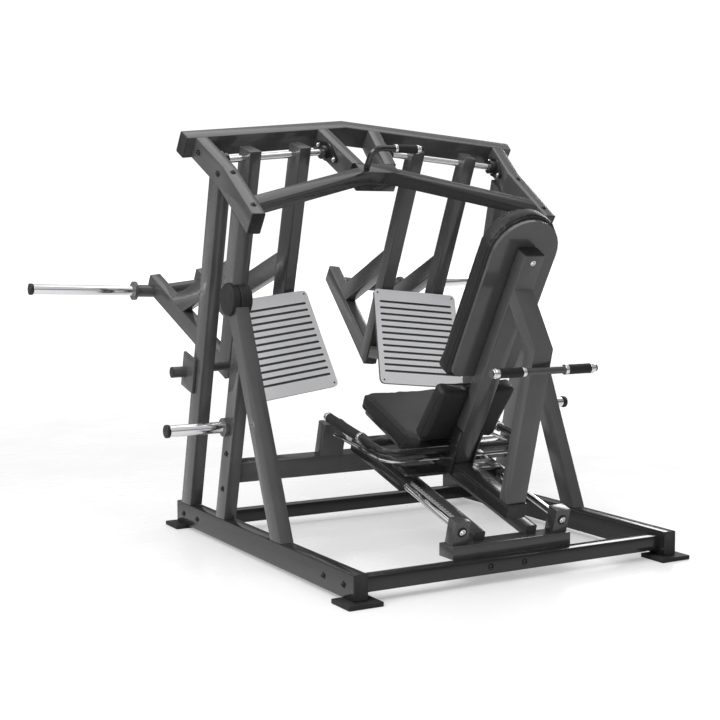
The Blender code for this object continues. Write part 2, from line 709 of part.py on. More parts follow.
def build_arm(side, word):
    pivot = empty_frame(f"arm_pivot_{word}", arm_frame_matrix(side))
    across = X * side
    rod(f"arm_shaft_{word}", across * SHAFT_SPAN[0], across * SHAFT_SPAN[1], SHAFT_RADIUS, CHROME, pivot, side=Y)
    hole_start, hole_end = ARM_INNER - TUBE_WIDTH, ARM_OUTER + TUBE_WIDTH
    shaft_hole = rod(f"shaft_hole_{word}", across * hole_start, across * hole_end, SHAFT_RADIUS + GAP, CHROME,
                     pivot, side=Y)
    down = Vector((0, math.sin(ARM_LEAN), -math.cos(ARM_LEAN)))
    forward = Vector((0, -math.cos(ARM_LEAN), -math.sin(ARM_LEAN)))
    back_up = Vector((0, math.sin(DIAGONAL_LEAN), math.cos(DIAGONAL_LEAN)))
    strut = Vector((0, math.cos(STRUT_SLOPE), -math.sin(STRUT_SLOPE)))
    pieces = []
    for place, offset in (("inner", ARM_INNER), ("outer", ARM_OUTER)):
        line = across * offset
        hanger_foot = line + down * (ARM_LENGTH - ARM_TOP)
        pieces.append(bar(f"arm_hanger_{place}_{word}", line - down * ARM_TOP, hanger_foot, TUBE_WIDTH, ARM_DEPTH,
                          X, GREY_PAINT, pivot))
        hanger_rear = (line + forward * BURIED, forward)
        pieces.append(bar(f"arm_diagonal_{place}_{word}", line + DIAGONAL_TOP - back_up * DIAGONAL_LENGTH,
                          line + DIAGONAL_TOP, TUBE_WIDTH - WELD_STEP, ARM_DEPTH, X, GREY_PAINT, pivot,
                          cuts=(hanger_rear,)))
        strut_start = line + Z * STRUT_HEIGHT
        pieces.append(bar(f"arm_strut_{place}_{word}", strut_start, strut_start + strut * STRUT_LENGTH,
                          TUBE_WIDTH - 2 * WELD_STEP, ARM_DEPTH, X, GREY_PAINT, pivot, cuts=(hanger_rear,)))
    pieces.append(rod(f"arm_cross_tube_{word}", HORN_CENTRE + across * ARM_INNER,
                      HORN_CENTRE + across * ARM_OUTER, CROSS_TUBE_RADIUS, GREY_PAINT, pivot, side=Y))
    low = down * (ARM_LENGTH - ARM_TOP - LOW_TIE_FROM_END)
    pieces.append(bar(f"arm_low_tie_{word}", low + across * ARM_INNER, low + across * ARM_OUTER, LOW_TIE_SIZE,
                      LOW_TIE_SIZE, Y, GREY_PAINT, pivot))
    pieces.append(stop_lug(pivot, side, word))
    frame = pieces[0]
    frame.name = f"arm_frame_{word}"
    weld(frame, *pieces[1:], *plate_mount(pivot, side, word, down), *horn_base(pivot, side, word))
    cut(frame, shaft_hole)
    build_footplate(pivot, side, word)
    build_load_horn(pivot, side, word)


def stop_lug(pivot, side, word):
    """The stub on the arm's outer diagonal that rests on the rubber of the stop bar, on its rear side."""
    stop = Vector((0, *STOP_CENTRE))
    arm_frame = arm_frame_matrix(side)
    behind = X.cross(stop - arm_frame.translation).normalized() * (BUMPER_RADIUS + LUG_RADIUS + GAP)
    to_arm = arm_frame.inverted()
    start, end = (to_arm @ (stop + behind + X * side * reach) for reach in LUG_SPAN)
    return rod(f"stop_lug_{word}", start, end, LUG_RADIUS, GREY_PAINT, pivot, side=Y)


def plate_matrix(side, lift):
    """Frame of the footplate: X across, Y up the plate, Z out of its tread, towards the user."""
    up = Vector((0, math.sin(PLATE_TILT), math.cos(PLATE_TILT)))
    outward = Vector((0, -math.cos(PLATE_TILT), math.sin(PLATE_TILT)))
    centre = PLATE_CENTRE + X * side * ARM_MIDDLE + outward * lift
    return frame_matrix(centre, X, up)


def plate_mount(pivot, side, word, down):
    """The backing sheet behind the tread and the ribs that carry it on the two hangers."""
    backing_matrix = plate_matrix(side, -BACKING_THICKNESS)
    backing = plate(f"plate_backing_{word}", [rounded_outline(*PLATE_SIZE, BACKING_CORNER)], BACKING_THICKNESS,
                    BLACK_PAINT, backing_matrix, pivot)
    outward = backing_matrix.to_3x3() @ Z
    ribs = []
    for place, offset in (("inner", ARM_INNER), ("outer", ARM_OUTER - OUTER_RIB_INSET)):
        for level, (hanger_distance, plate_height) in RIBS.items():
            hanger_end = X * side * offset + down * hanger_distance
            plate_end = backing_matrix @ Vector((side * (offset - ARM_MIDDLE), plate_height, 2 * BURIED))
            ribs.append(bar(f"plate_rib_{place}_{level}_{word}", hanger_end, plate_end, RIB_WIDTH[place], RIB_DEPTH,
                            X, GREY_PAINT, pivot, cuts=((backing_matrix.translation, outward),)))
    return [backing, *ribs]


def horn_direction(side):
    """The horn points straight out to the side in the room, with a small rise, told in the arm's frame."""
    rotation = arm_frame_matrix(side).to_3x3().inverted()
    return rotation @ Vector((side * math.cos(HORN_TILT), 0, math.sin(HORN_TILT)))


def horn_base(pivot, side, word):
    start = HORN_CENTRE + X * side * HORN_START
    along = horn_direction(side)
    stub = rod(f"horn_stub_{word}", start, start + along * HORN_STUB_LENGTH, CROSS_TUBE_RADIUS, GREY_PAINT, pivot,
               side=Y)
    flange = rod(f"horn_flange_{word}", start + along * HORN_FLANGE[0], start + along * HORN_FLANGE[1],
                 HORN_FLANGE_RADIUS, BLACK_PAINT, pivot, side=Y)
    return [stub, flange]


def build_load_horn(pivot, side, word):
    start = HORN_CENTRE + X * side * HORN_START
    along = horn_direction(side)
    rod(f"load_horn_{word}", start + along * (HORN_FLANGE[1] + GAP), start + along * HORN_LENGTH, SLEEVE_RADIUS,
        CHROME, pivot, side=Y)


def build_footplate(pivot, side, word):
    slots = []
    length, height = SLOT_SIZE
    for number in range(SLOT_COUNT):
        y = (number - (SLOT_COUNT - 1) / 2) * SLOT_PITCH
        half = (length - height) / 2
        slots.append(
            arc((half, y), height / 2, -math.pi / 2, math.pi / 2, 4)
            + arc((-half, y), height / 2, math.pi / 2, 3 * math.pi / 2, 4)
        )
    lift = (PLATE_THICKNESS - BACKING_THICKNESS) / 2 + GAP
    plate(f"footplate_{word}", [rounded_outline(*PLATE_SIZE, PLATE_CORNER), *slots], PLATE_THICKNESS, BRUSHED,
          plate_matrix(side, lift), pivot)


# ---------------------------------------------------------------- shaft bearings
def flange_outline():
    """A two-bolt flange: a round middle drawn in to two rounded ears."""
    reach = BEARING_BOLTS / 2
    quarter = math.pi / 2 - math.asin((FLANGE_MIDDLE - FLANGE_EAR) / reach)
    points = arc((reach, 0), FLANGE_EAR, -quarter, quarter, 5)
    points += arc((0, 0), FLANGE_MIDDLE, quarter, math.pi - quarter, 4)
    points += arc((-reach, 0), FLANGE_EAR, math.pi - quarter, math.pi + quarter, 5)
    points += arc((0, 0), FLANGE_MIDDLE, math.pi + quarter, 2 * math.pi - quarter, 4)
    return points


def build_bearing(name, shaft_line, side, beam_face, inward):
    """A flange bearing on a beam face at beam_face along the shaft; inward is the way its nose points."""
    across = X * side
    uphill = Vector((0, math.cos(FRAME_TILT), math.sin(FRAME_TILT)))
    slope = shaft_line.matrix_local.to_3x3().inverted() @ uphill
    slope = (slope - X * slope.x).normalized()
    nose = across * inward
    foot = across * beam_face + nose * GAP
    ears = frame_matrix(foot + nose * FLANGE_THICKNESS / 2, slope, nose.cross(slope))
    flange = plate(name, [flange_outline()], FLANGE_THICKNESS, BLACK_PAINT, ears, shaft_line)
    boss = rod(name + "_boss", foot + nose * BOSS_BURIED, foot + nose * BEARING_LENGTH, BOSS_RADIUS, BLACK_PAINT,
               shaft_line, side=Y, steps=BORE_STEPS)
    bore = rod(name + "_bore", foot - nose * BOSS_BURIED, foot + nose * (BEARING_LENGTH + BOSS_BURIED),
               bore_radius(SHAFT_RADIUS), BLACK_PAINT, shaft_line, side=Y, steps=BORE_STEPS)
    weld(flange, boss)
    cut(flange, bore)


def build_bearings():
    for side, word in SIDE_NAMES.items():
        shaft_line = empty_frame(f"shaft_line_{word}", arm_frame_matrix(side))
        build_bearing(f"bearing_inner_{word}", shaft_line, side, INNER_BEAM_FACE, 1)
        build_bearing(f"bearing_outer_{word}", shaft_line, side, SIDE_BEAM_FACE, -1)


# ---------------------------------------------------------------- guide rods and their supports
def rod_point(x, distance, lift=0.0):
    """A point on the line of the guide rods, distance along them from the near end."""
    along = Vector((0, math.cos(ROD_SLOPE), math.sin(ROD_SLOPE)))
    above = Vector((0, -math.sin(ROD_SLOPE), math.cos(ROD_SLOPE)))
    return ROD_NEAR + X * x + along * distance + above * lift


def rod_turn():
    return Matrix.Rotation(ROD_SLOPE, 4, "X")


def build_guides():
    beam_bottom = RAIL_MIDDLE + TUBE_WIDTH / 2 + GAP
    near = block("guide_end_beam", Vector((0, END_BEAM_Y, beam_bottom + END_BEAM_SIZE[2] / 2)), END_BEAM_SIZE,
                 GREY_PAINT)
    lean = math.atan(REAR_LEG_LEAN)
    far = block("raised_cross_beam", Vector((0, *RAISED_BEAM)), (2 * (RAIL_INNER - GAP), TUBE_WIDTH, LEG_DEPTH),
                GREY_PAINT, turn=Matrix.Rotation(lean, 4, "X"))
    for side, word in SIDE_NAMES.items():
        x = side * ROD_X
        weld(near, block(f"near_block_{word}", rod_point(x, *NEAR_BLOCK_PLACE), NEAR_BLOCK, GREY_PAINT,
                         turn=rod_turn()))
        far_x = side * (abs(RACK_X) + FAR_BLOCK.x / 2)
        weld(far, block(f"far_block_{word}", rod_point(far_x, *FAR_BLOCK_PLACE), FAR_BLOCK, GREY_PAINT,
                        turn=rod_turn()))
        rail_x = side * GUIDE_RAIL_X
        weld(near, bar(f"guide_rail_{word}", rod_point(rail_x, GUIDE_RAIL_START, GUIDE_RAIL_LIFT),
                       rod_point(rail_x, ROD_LENGTH + OVERRUN, GUIDE_RAIL_LIFT), GUIDE_RAIL_SIZE, GUIDE_RAIL_SIZE, X,
                       GREY_PAINT, cuts=((Y * GUIDE_RAIL_END_Y, Y),)))
        rod(f"guide_rod_{word}", rod_point(x, ROD_FIRST), rod_point(x, ROD_LENGTH), ROD_RADIUS, CHROME)
        hole = rod(f"guide_hole_{word}", rod_point(x, -BURIED), rod_point(x, ROD_LENGTH + BURIED),
                   ROD_RADIUS + GAP, CHROME)
        cut(near, hole)
        cut(far, hole)
    build_rack()


def build_rack():
    """The toothed bar beside the left rod that the seat's pawl drops into."""
    width, depth = NOTCH_SIZE
    start, end = RACK_SPAN
    top, bottom = RACK_DEPTH / 2, -RACK_DEPTH / 2
    outline = [(start, bottom), (end, bottom), (end, top)]
    for number in reversed(range(RACK_NOTCHES)):
        middle = RACK_FIRST + number * RACK_PITCH
        outline += [
            (middle + width / 2, top),
            (middle + width / 2, top - depth),
            (middle - width / 2, top - depth),
            (middle - width / 2, top),
        ]
    outline.append((start, top))
    along = rod_point(0, 1) - rod_point(0, 0)
    above = rod_point(0, 0, 1) - rod_point(0, 0)
    plate("position_rack", [outline], RACK_WIDTH, BRUSHED,
          frame_matrix(rod_point(RACK_X, 0, RACK_LIFT), along, above))


# ---------------------------------------------------------------- sliding seat
def build_carriage():
    width, height = SPINE_SIZE
    spine = bar("seat_carriage", rod_point(0, SPINE_SPAN[0], SPINE_LIFT), rod_point(0, SPINE_SPAN[1], SPINE_LIFT),
                width, height, X, GREY_PAINT)
    first, last = CARRIAGE_SLEEVE
    for side, word in SIDE_NAMES.items():
        x = side * ROD_X
        weld(spine, bar(f"carriage_sleeve_{word}", rod_point(x, first), rod_point(x, last), SLEEVE_SIZE,
                        SLEEVE_SIZE, X, GREY_PAINT))
    for end, distance in (("front", first + TIE_FROM_END), ("rear", last - TIE_FROM_END)):
        weld(spine, block(f"carriage_tie_{end}", rod_point(0, distance, TIE_LIFT), (2 * ROD_X, *TIE_SIZE),
                          GREY_PAINT, turn=rod_turn()))
    weld(spine, *seat_supports())
    for side, word in SIDE_NAMES.items():
        x = side * ROD_X
        cut(spine, rod(f"sleeve_bore_{word}", rod_point(x, first - BURIED), rod_point(x, last + BURIED),
                       bore_radius(ROD_RADIUS), CHROME, steps=BORE_STEPS))
    cut(spine, *handle_bores("cheek"))


def handle_bores(name):
    """Cutters for the fixed side handle and for the release bar, which turns in its bore."""
    handle, release, reach = Vector((0, *SIDE_HANDLE_AXIS)), Vector((0, *RELEASE_AXIS)), X * CUTTER_REACH
    fixed = rod(name + "_handle_bore", handle - reach, handle + reach, SIDE_TUBE_RADIUS + GAP, CHROME)
    turning = rod(name + "_release_bore", release - reach, release + reach, bore_radius(RELEASE_RADIUS), CHROME,
                  steps=BORE_STEPS)
    return fixed, turning


def seat_point(x, back, under):
    """A point told from the seat's front top edge: back along the seat, under its top face."""
    along = Vector((0, -math.cos(SEAT_SLOPE), -math.sin(SEAT_SLOPE)))
    below = Vector((0, math.sin(SEAT_SLOPE), -math.cos(SEAT_SLOPE)))
    return SEAT_TOP_FRONT + X * x + along * back + below * under


def seat_supports():
    """The seat's board, its rail and posts, and the cheek plates that hold the back tube."""
    width, length, thickness = SEAT_SIZE
    seat_up = seat_point(0, 0, 0) - seat_point(0, 1, 0)
    board_place = seat_point(0, length - BOARD_INSET, thickness + GAP + BOARD_THICKNESS / 2)
    board = plate("seat_board", [seat_outline(width - 2 * BOARD_INSET, length - 2 * BOARD_INSET)], BOARD_THICKNESS,
                  BLACK_PAINT, frame_matrix(board_place, X, seat_up))
    under = thickness + BOARD_THICKNESS + SEAT_RAIL_UNDER
    start, end = SEAT_RAIL_SPAN
    rail = bar("seat_rail", seat_point(0, start, under), seat_point(0, end, under), *SEAT_RAIL, X, GREY_PAINT)
    post_top = seat_point(0, SEAT_POST_BACK, under)
    post_foot = rod_point(0, (post_top.y - ROD_NEAR.y) / math.cos(ROD_SLOPE), SPINE_LIFT)
    post = bar("seat_post", post_foot, post_top, SEAT_POST_SIZE, SEAT_POST_SIZE, X, GREY_PAINT)
    foot, head = rod_point(0, CHEEK_DISTANCE, SPINE_LIFT), back_point(0, CHEEK_HEAD, TUBE_BEHIND)
    cheeks = []
    for side, word in SIDE_NAMES.items():
        shift = X * side * (SPINE_SIZE[0] + CHEEK[0] + WELD_STEP) / 2
        cheeks.append(bar(f"cheek_{word}", foot + shift, head + shift, *CHEEK, X, GREY_PAINT, edge=WELD_STEP))
    cheek_foot = (SPINE_SIZE[0] + 2 * CHEEK[0] + WELD_STEP, SPINE_SIZE[1], 2 * BURIED)
    feet = block("cheek_foot", foot, cheek_foot, GREY_PAINT, turn=rod_turn())
    return [board, rail, post, feet, *cheeks]


def back_point(x, up, behind):
    """A point told from the foot of the back pad's front face: up along the pad, behind that face."""
    along = Vector((0, -math.sin(BACK_LEAN), math.cos(BACK_LEAN)))
    rearward = Vector((0, -math.cos(BACK_LEAN), -math.sin(BACK_LEAN)))
    return BACK_FOOT + X * x + along * up + rearward * behind


def build_back_support():
    """The tube up the back of the pad, its board, and the bent post that props it from the carriage."""
    width, depth = SPINE_SIZE
    above = rod_point(0, 0, 1) - rod_point(0, 0)
    spine_top = (rod_point(0, 0, SPINE_LIFT + SPINE_HALF_HEIGHT + GAP), -above)
    low, high = BACK_TUBE_SPAN
    tube = bar("back_support", back_point(0, low, TUBE_BEHIND), back_point(0, high, TUBE_BEHIND), width, depth, X,
               GREY_PAINT, cuts=(spine_top,))
    up = back_point(0, 1, 0) - back_point(0, 0, 0)
    board_matrix = frame_matrix(back_point(0, BOARD_INSET, PAD_THICKNESS + GAP + BOARD_THICKNESS / 2), X, up)
    board_width, board_length = BACK_WIDTH - 2 * BOARD_INSET, BACK_LENGTH - 2 * BOARD_INSET
    outline = pad_outline(board_width, board_length, PAD_CORNER, board_width / 2 - 2 * WELD_STEP, 8)
    board = plate("back_board", [outline], BOARD_THICKNESS, BLACK_PAINT, board_matrix)
    low, high = PACKER_SPAN
    packer = bar("back_packer", back_point(0, low, PACKER_BEHIND), back_point(0, high, PACKER_BEHIND), *PACKER, X,
                 GREY_PAINT)
    seam = back_point(0, PROP_HEAD, TUBE_BEHIND + BOSS_BURIED)
    foot = rod_point(0, PROP_FOOT, SPINE_LIFT)
    to_seam, to_foot = (seam - PROP_BEND).normalized(), (foot - PROP_BEND).normalized()
    mitre = X.cross(to_seam + to_foot).normalized()
    upper = bar("post_upper", PROP_BEND - to_seam * MITRE_OVERRUN, seam, width - WELD_STEP, depth, X, GREY_PAINT,
                cuts=((PROP_BEND - mitre * SEAM, -mitre),))
    lower = bar("post_lower", foot, PROP_BEND - to_foot * MITRE_OVERRUN, width - 2 * WELD_STEP, depth, X,
                GREY_PAINT, cuts=((PROP_BEND + mitre * SEAM, mitre), spine_top))
    weld(tube, board, packer, upper, lower)
    axis, reach = Vector((0, *HANDLEBAR)), X * CUTTER_REACH
    cut(tube, rod("handlebar_bore", axis - reach, axis + reach, HANDLE_TUBE_RADIUS + GAP, CHROME))
    cut(tube, *handle_bores("tube"))


def build_handlebar():
    axis = Vector((0, *HANDLEBAR))
    rod("back_handlebar", axis - X * HANDLEBAR_HALF, axis + X * HANDLEBAR_HALF, HANDLE_TUBE_RADIUS, GREY_PAINT)
    for side, word in SIDE_NAMES.items():
        hand_grip(f"back_grip_{word}", axis + X * side * BACK_GRIP[0], axis + X * side * BACK_GRIP[1], GRIP_RADIUS,
                  HANDLE_TUBE_RADIUS)


def hand_grip(name, start, end, radius, tube_radius, parent=None):
    """A rubber sleeve round a tube, open at both ends."""
    grip = rod(name, start, end, radius, RUBBER, parent)
    reach = (end - start).normalized() * BURIED
    cut(grip, rod(name + "_bore", start - reach, end + reach, tube_radius + 2 * GAP, RUBBER, parent))


def handle_path(half, axis, tip):
    """The corners of a bar that crosses behind the seat at axis and runs forward on both sides to tip."""
    left = [Vector((-half, *tip)), Vector((-half, *axis))]
    return left + [Vector((-point.x, point.y, point.z)) for point in reversed(left)]


def build_side_handle():
    points = handle_path(SIDE_HANDLE_HALF, SIDE_HANDLE_AXIS, SIDE_HANDLE_TIP)
    bent_tube("side_handle_bar", points, SIDE_TUBE_RADIUS, HANDLE_BEND, GREY_PAINT)
    for side, word in SIDE_NAMES.items():
        tip = Vector((side * SIDE_HANDLE_HALF, *SIDE_HANDLE_TIP))
        along = (tip - Vector((tip.x, *SIDE_HANDLE_AXIS))).normalized()
        far = tip - along * SIDE_GRIP_FROM_TIP
        hand_grip(f"side_grip_{word}", far, far - along * SIDE_GRIP_LENGTH, SIDE_GRIP_RADIUS, SIDE_TUBE_RADIUS)


def build_release():
    """The thin bar under the side handles, which lifts a pawl out of the rack to free the seat."""
    points = handle_path(SIDE_HANDLE_HALF, RELEASE_AXIS, RELEASE_TIP)
    lever = bent_tube("seat_release_bar", points, RELEASE_RADIUS, HANDLE_BEND, CHROME)
    rack_top = RACK_LIFT + RACK_DEPTH / 2
    axis = Vector((RACK_X, *RELEASE_AXIS))
    knee = rod_point(RACK_X, PAWL_DISTANCE, rack_top + PAWL_KNEE)
    arm = bar("pawl_arm", axis, knee, *PAWL_ARM, X, BRUSHED, edge=WELD_STEP)
    tooth = bar("pawl_tooth", rod_point(RACK_X, PAWL_DISTANCE, rack_top + PAWL_KNEE + 2 * WELD_STEP),
                rod_point(RACK_X, PAWL_DISTANCE, rack_top + PAWL_LIFT), *PAWL_TOOTH, X, BRUSHED, edge=0)
    weld(lever, arm, tooth)


# ---------------------------------------------------------------- pads
def pad_outline(width, length, radius, top_radius, steps):
    """A pad seen square on: rounded corners at the foot, and wider ones at the head."""
    half, foot = width / 2, radius
    points = arc((half - foot, foot), foot, -math.pi / 2, 0, 3)
    points += arc((half - top_radius, length - top_radius), top_radius, 0, math.pi / 2, steps)
    points += arc((top_radius - half, length - top_radius), top_radius, math.pi / 2, math.pi, steps)
    points += arc((foot - half, foot), foot, math.pi, 3 * math.pi / 2, 3)
    return points


def bevelled_pad(name, outline, thickness, bevel, matrix):
    pad = plate(name, [outline], thickness, LEATHERETTE, matrix)
    modifier = pad.modifiers.new("soft_edge", "BEVEL")
    modifier.width = bevel
    modifier.segments = 2
    modifier.limit_method = "ANGLE"
    modifier.angle_limit = math.radians(60)
    return pad


def build_pads():
    up = back_point(0, 1, 0) - back_point(0, 0, 0)
    back_matrix = frame_matrix(back_point(0, 0, PAD_THICKNESS / 2), X, up)
    top_radius = BACK_WIDTH / 2 - 2 * WELD_STEP
    bevelled_pad("back_pad", pad_outline(BACK_WIDTH, BACK_LENGTH, PAD_CORNER, top_radius, 8), PAD_THICKNESS,
                 PAD_BEVEL, back_matrix)
    seat_up = seat_point(0, 0, 0) - seat_point(0, 1, 0)
    width, length, thickness = SEAT_SIZE
    seat_matrix = frame_matrix(seat_point(0, length, thickness / 2), X, seat_up)
    bevelled_pad("seat_pad", seat_outline(width, length), thickness, PAD_BEVEL, seat_matrix)

    lean = Vector((0, -math.sin(BOLSTER_LEAN), math.cos(BOLSTER_LEAN)))
    rearward = Vector((0, -math.cos(BOLSTER_LEAN), -math.sin(BOLSTER_LEAN)))
    width, length, thickness = BOLSTER_SIZE
    foot = BOLSTER_FOOT + rearward * thickness / 2
    bolster = bevelled_pad("lumbar_pad", pad_outline(width, length, BOLSTER_CORNER, BOLSTER_CORNER, 3), thickness,
                           PAD_BEVEL, frame_matrix(foot, X, lean))
    tube_foot, tube_middle = back_point(0, BACK_TUBE_SPAN[0], TUBE_BEHIND), back_point(0, OVERRUN, TUBE_BEHIND)
    cut(bolster, bar("tube_notch", tube_foot, tube_middle, SPINE_SIZE[0] + BURIED, SPINE_SIZE[1] + 4 * WELD_STEP, X,
                     RUBBER, edge=0))


def seat_outline(width, length):
    """The seat narrows behind with two chamfered corners."""
    half, corner = width / 2, SEAT_CORNER
    points = [(half - SEAT_CHAMFER, 0), (half, SEAT_CHAMFER)]
    points += arc((half - corner, length - corner), corner, 0, math.pi / 2, 3)
    points += arc((corner - half, length - corner), corner, math.pi / 2, math.pi, 3)
    points += [(-half, SEAT_CHAMFER), (SEAT_CHAMFER - half, 0)]
    return points


# ---------------------------------------------------------------- whole machine
build_base()
build_top_frame()
for machine_side, side_word in SIDE_NAMES.items():
    build_side_frame(machine_side, side_word)
    build_stop(machine_side, side_word)
    build_arm(machine_side, side_word)
build_bearings()
build_guides()
build_carriage()
build_back_support()
build_handlebar()
build_side_handle()
build_release()
build_pads()

# The origin lies on the floor, under the middle of the machine's length.
for placed in bpy.data.objects:
    if placed.parent is None:
        placed.location.y -= MIDDLE_Y
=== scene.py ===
"""Looks of the leg press: paint, chrome, rubber and leatherette, soft pads, and small fittings.

Metres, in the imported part's own frame: +Z up, the user faces +Y, and the origin is on the floor.
"""

import json
import math

import bmesh
import bpy
import numpy as np
from mathutils import Matrix, Vector


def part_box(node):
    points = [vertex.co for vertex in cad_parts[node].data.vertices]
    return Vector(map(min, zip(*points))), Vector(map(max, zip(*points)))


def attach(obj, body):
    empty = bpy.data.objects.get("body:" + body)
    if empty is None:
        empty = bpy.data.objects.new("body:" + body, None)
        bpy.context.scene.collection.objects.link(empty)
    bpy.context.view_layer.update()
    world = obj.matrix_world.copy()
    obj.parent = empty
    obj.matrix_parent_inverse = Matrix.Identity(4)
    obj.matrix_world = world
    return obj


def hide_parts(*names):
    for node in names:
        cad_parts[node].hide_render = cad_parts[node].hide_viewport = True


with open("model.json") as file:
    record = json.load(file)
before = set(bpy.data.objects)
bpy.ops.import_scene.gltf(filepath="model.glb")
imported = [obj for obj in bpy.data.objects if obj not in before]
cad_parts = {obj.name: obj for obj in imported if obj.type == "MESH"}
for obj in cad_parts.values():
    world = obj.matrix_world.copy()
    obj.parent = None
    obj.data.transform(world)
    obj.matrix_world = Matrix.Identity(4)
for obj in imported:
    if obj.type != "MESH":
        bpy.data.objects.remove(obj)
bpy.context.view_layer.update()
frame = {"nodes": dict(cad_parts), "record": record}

X, Y, Z = Vector((1, 0, 0)), Vector((0, 1, 0)), Vector((0, 0, 1))
SIDES = (("left", -1), ("right", 1))
NODES = frame["nodes"]
BODY_OF = {node: body for body, nodes in frame["record"]["behaviour"]["bodies"].items() for node in nodes}
ROUND_STEPS = 40
RANGE_SOCKETS = ("From Min", "From Max", "To Min", "To Max")
FACET_ANGLE = math.radians(25)

# ---------------------------------------------------------------- driving dimensions
TUBE_WIDTH = 0.060
TUBE_DEPTH = 0.100
RAIL_X = 0.735
FRAME_TILT = math.radians(35)
CHEVRON = math.radians(10)
TOP_APEX = Vector((0, 0.37965, 1.877))
UPHILL = Vector((0, math.cos(FRAME_TILT), math.sin(FRAME_TILT)))
TOP_NORMAL = Vector((0, -math.sin(FRAME_TILT), math.cos(FRAME_TILT)))
SIDE_BEAM_BEND = -0.430
SIDE_BEAM_FRONT = -0.779
BACK_BEAM_HALF = 0.869
ROD_SLOPE = math.radians(16)
ROD_NEAR = Vector((0, -1.00435, 0.2025))
ROD_ALONG = Vector((0, math.cos(ROD_SLOPE), math.sin(ROD_SLOPE)))
ROD_ABOVE = Vector((0, -math.sin(ROD_SLOPE), math.cos(ROD_SLOPE)))
SPINE_SIZE = (0.090, 0.060)
SPINE_LIFT = 0.065
BACK_LEAN = math.radians(30)
BACK_FOOT = Vector((0, -0.69035, 0.809))
BACK_UP = Vector((0, -math.sin(BACK_LEAN), math.cos(BACK_LEAN)))
BACK_FACING = Vector((0, math.cos(BACK_LEAN), math.sin(BACK_LEAN)))
TUBE_BEHIND = 0.128
BACK_TUBE_TOP = 0.610

BOLT_RADIUS = 0.0095
SMALL_BOLT = 0.0080
SCREW_RADIUS = 0.0045
BEARING_BOLT_RADIUS = 0.0085
BEARING_BOLTS = 0.130
FLANGE_THICKNESS = 0.0143
PLATE_SCREWS = (0.196, 0.222)
RAIL_BOLT_SPREAD = 0.078
RAIL_BOLT_MIDDLE = {"front_cross_member": -0.932, "rear_cross_member": 0.432}
NUT_PLACE = -0.986
LEG_BOLTS = ((0.0237, 0.410), (0.0677, 0.252))
CROSS_BOLTS = (-0.140, 0.020)
SIDE_BEAM_TOP_BOLTS = (-0.474, -0.716)
SIDE_BEAM_SIDE_BOLTS = (0.026, 0.194)
GUIDE_WASHER = 0.020
ROD_RECESS = 0.0006
TUBE_BOLTS = (0.580, 0.1415, -0.0975, -0.2876)
HUB_RIM = 0.007
HUB_GROOVE = 0.0025
HUB_SEAM = {"left": 0.42, "right": 0.58}
STOP_CENTRE = (0.44015, 0.730)
STOP_RADIUS = 0.0252

FLOOR_HALF = 60
# Each run is low value, high value, then what they turn into.
FLOOR_GLOW = (2.5, 12.0, 0.30, 1.0)
SKY_SIDE = (-1.0, 1.0, 0.75, 0.25)
SKY_TOP = (0.0, 1.0, 0.0, 0.18)
SKY_BAND_HEIGHT = 0.12
SKY_BAND = (0.04, 0.11, 0.10, 1.0)
LIGHTS = (
    ("key", (-4.5, -1.5, 4.0), 3.0, 170),
    ("top", (0.5, 0.5, 5.5), 4.0, 62),
    ("rim", (4.5, 2.5, 3.0), 2.5, 90),
)
SKY_SEEN = 1.05

CAMERA_AZIMUTH = -29.60
CAMERA_ELEVATION = 5.034
CAMERA_PLACE = Vector((-3.162, -5.358, 1.329))
CAMERA_ROLL = 0.137
CAMERA_LENS = 69.2
CAMERA_SENSOR = 36.0


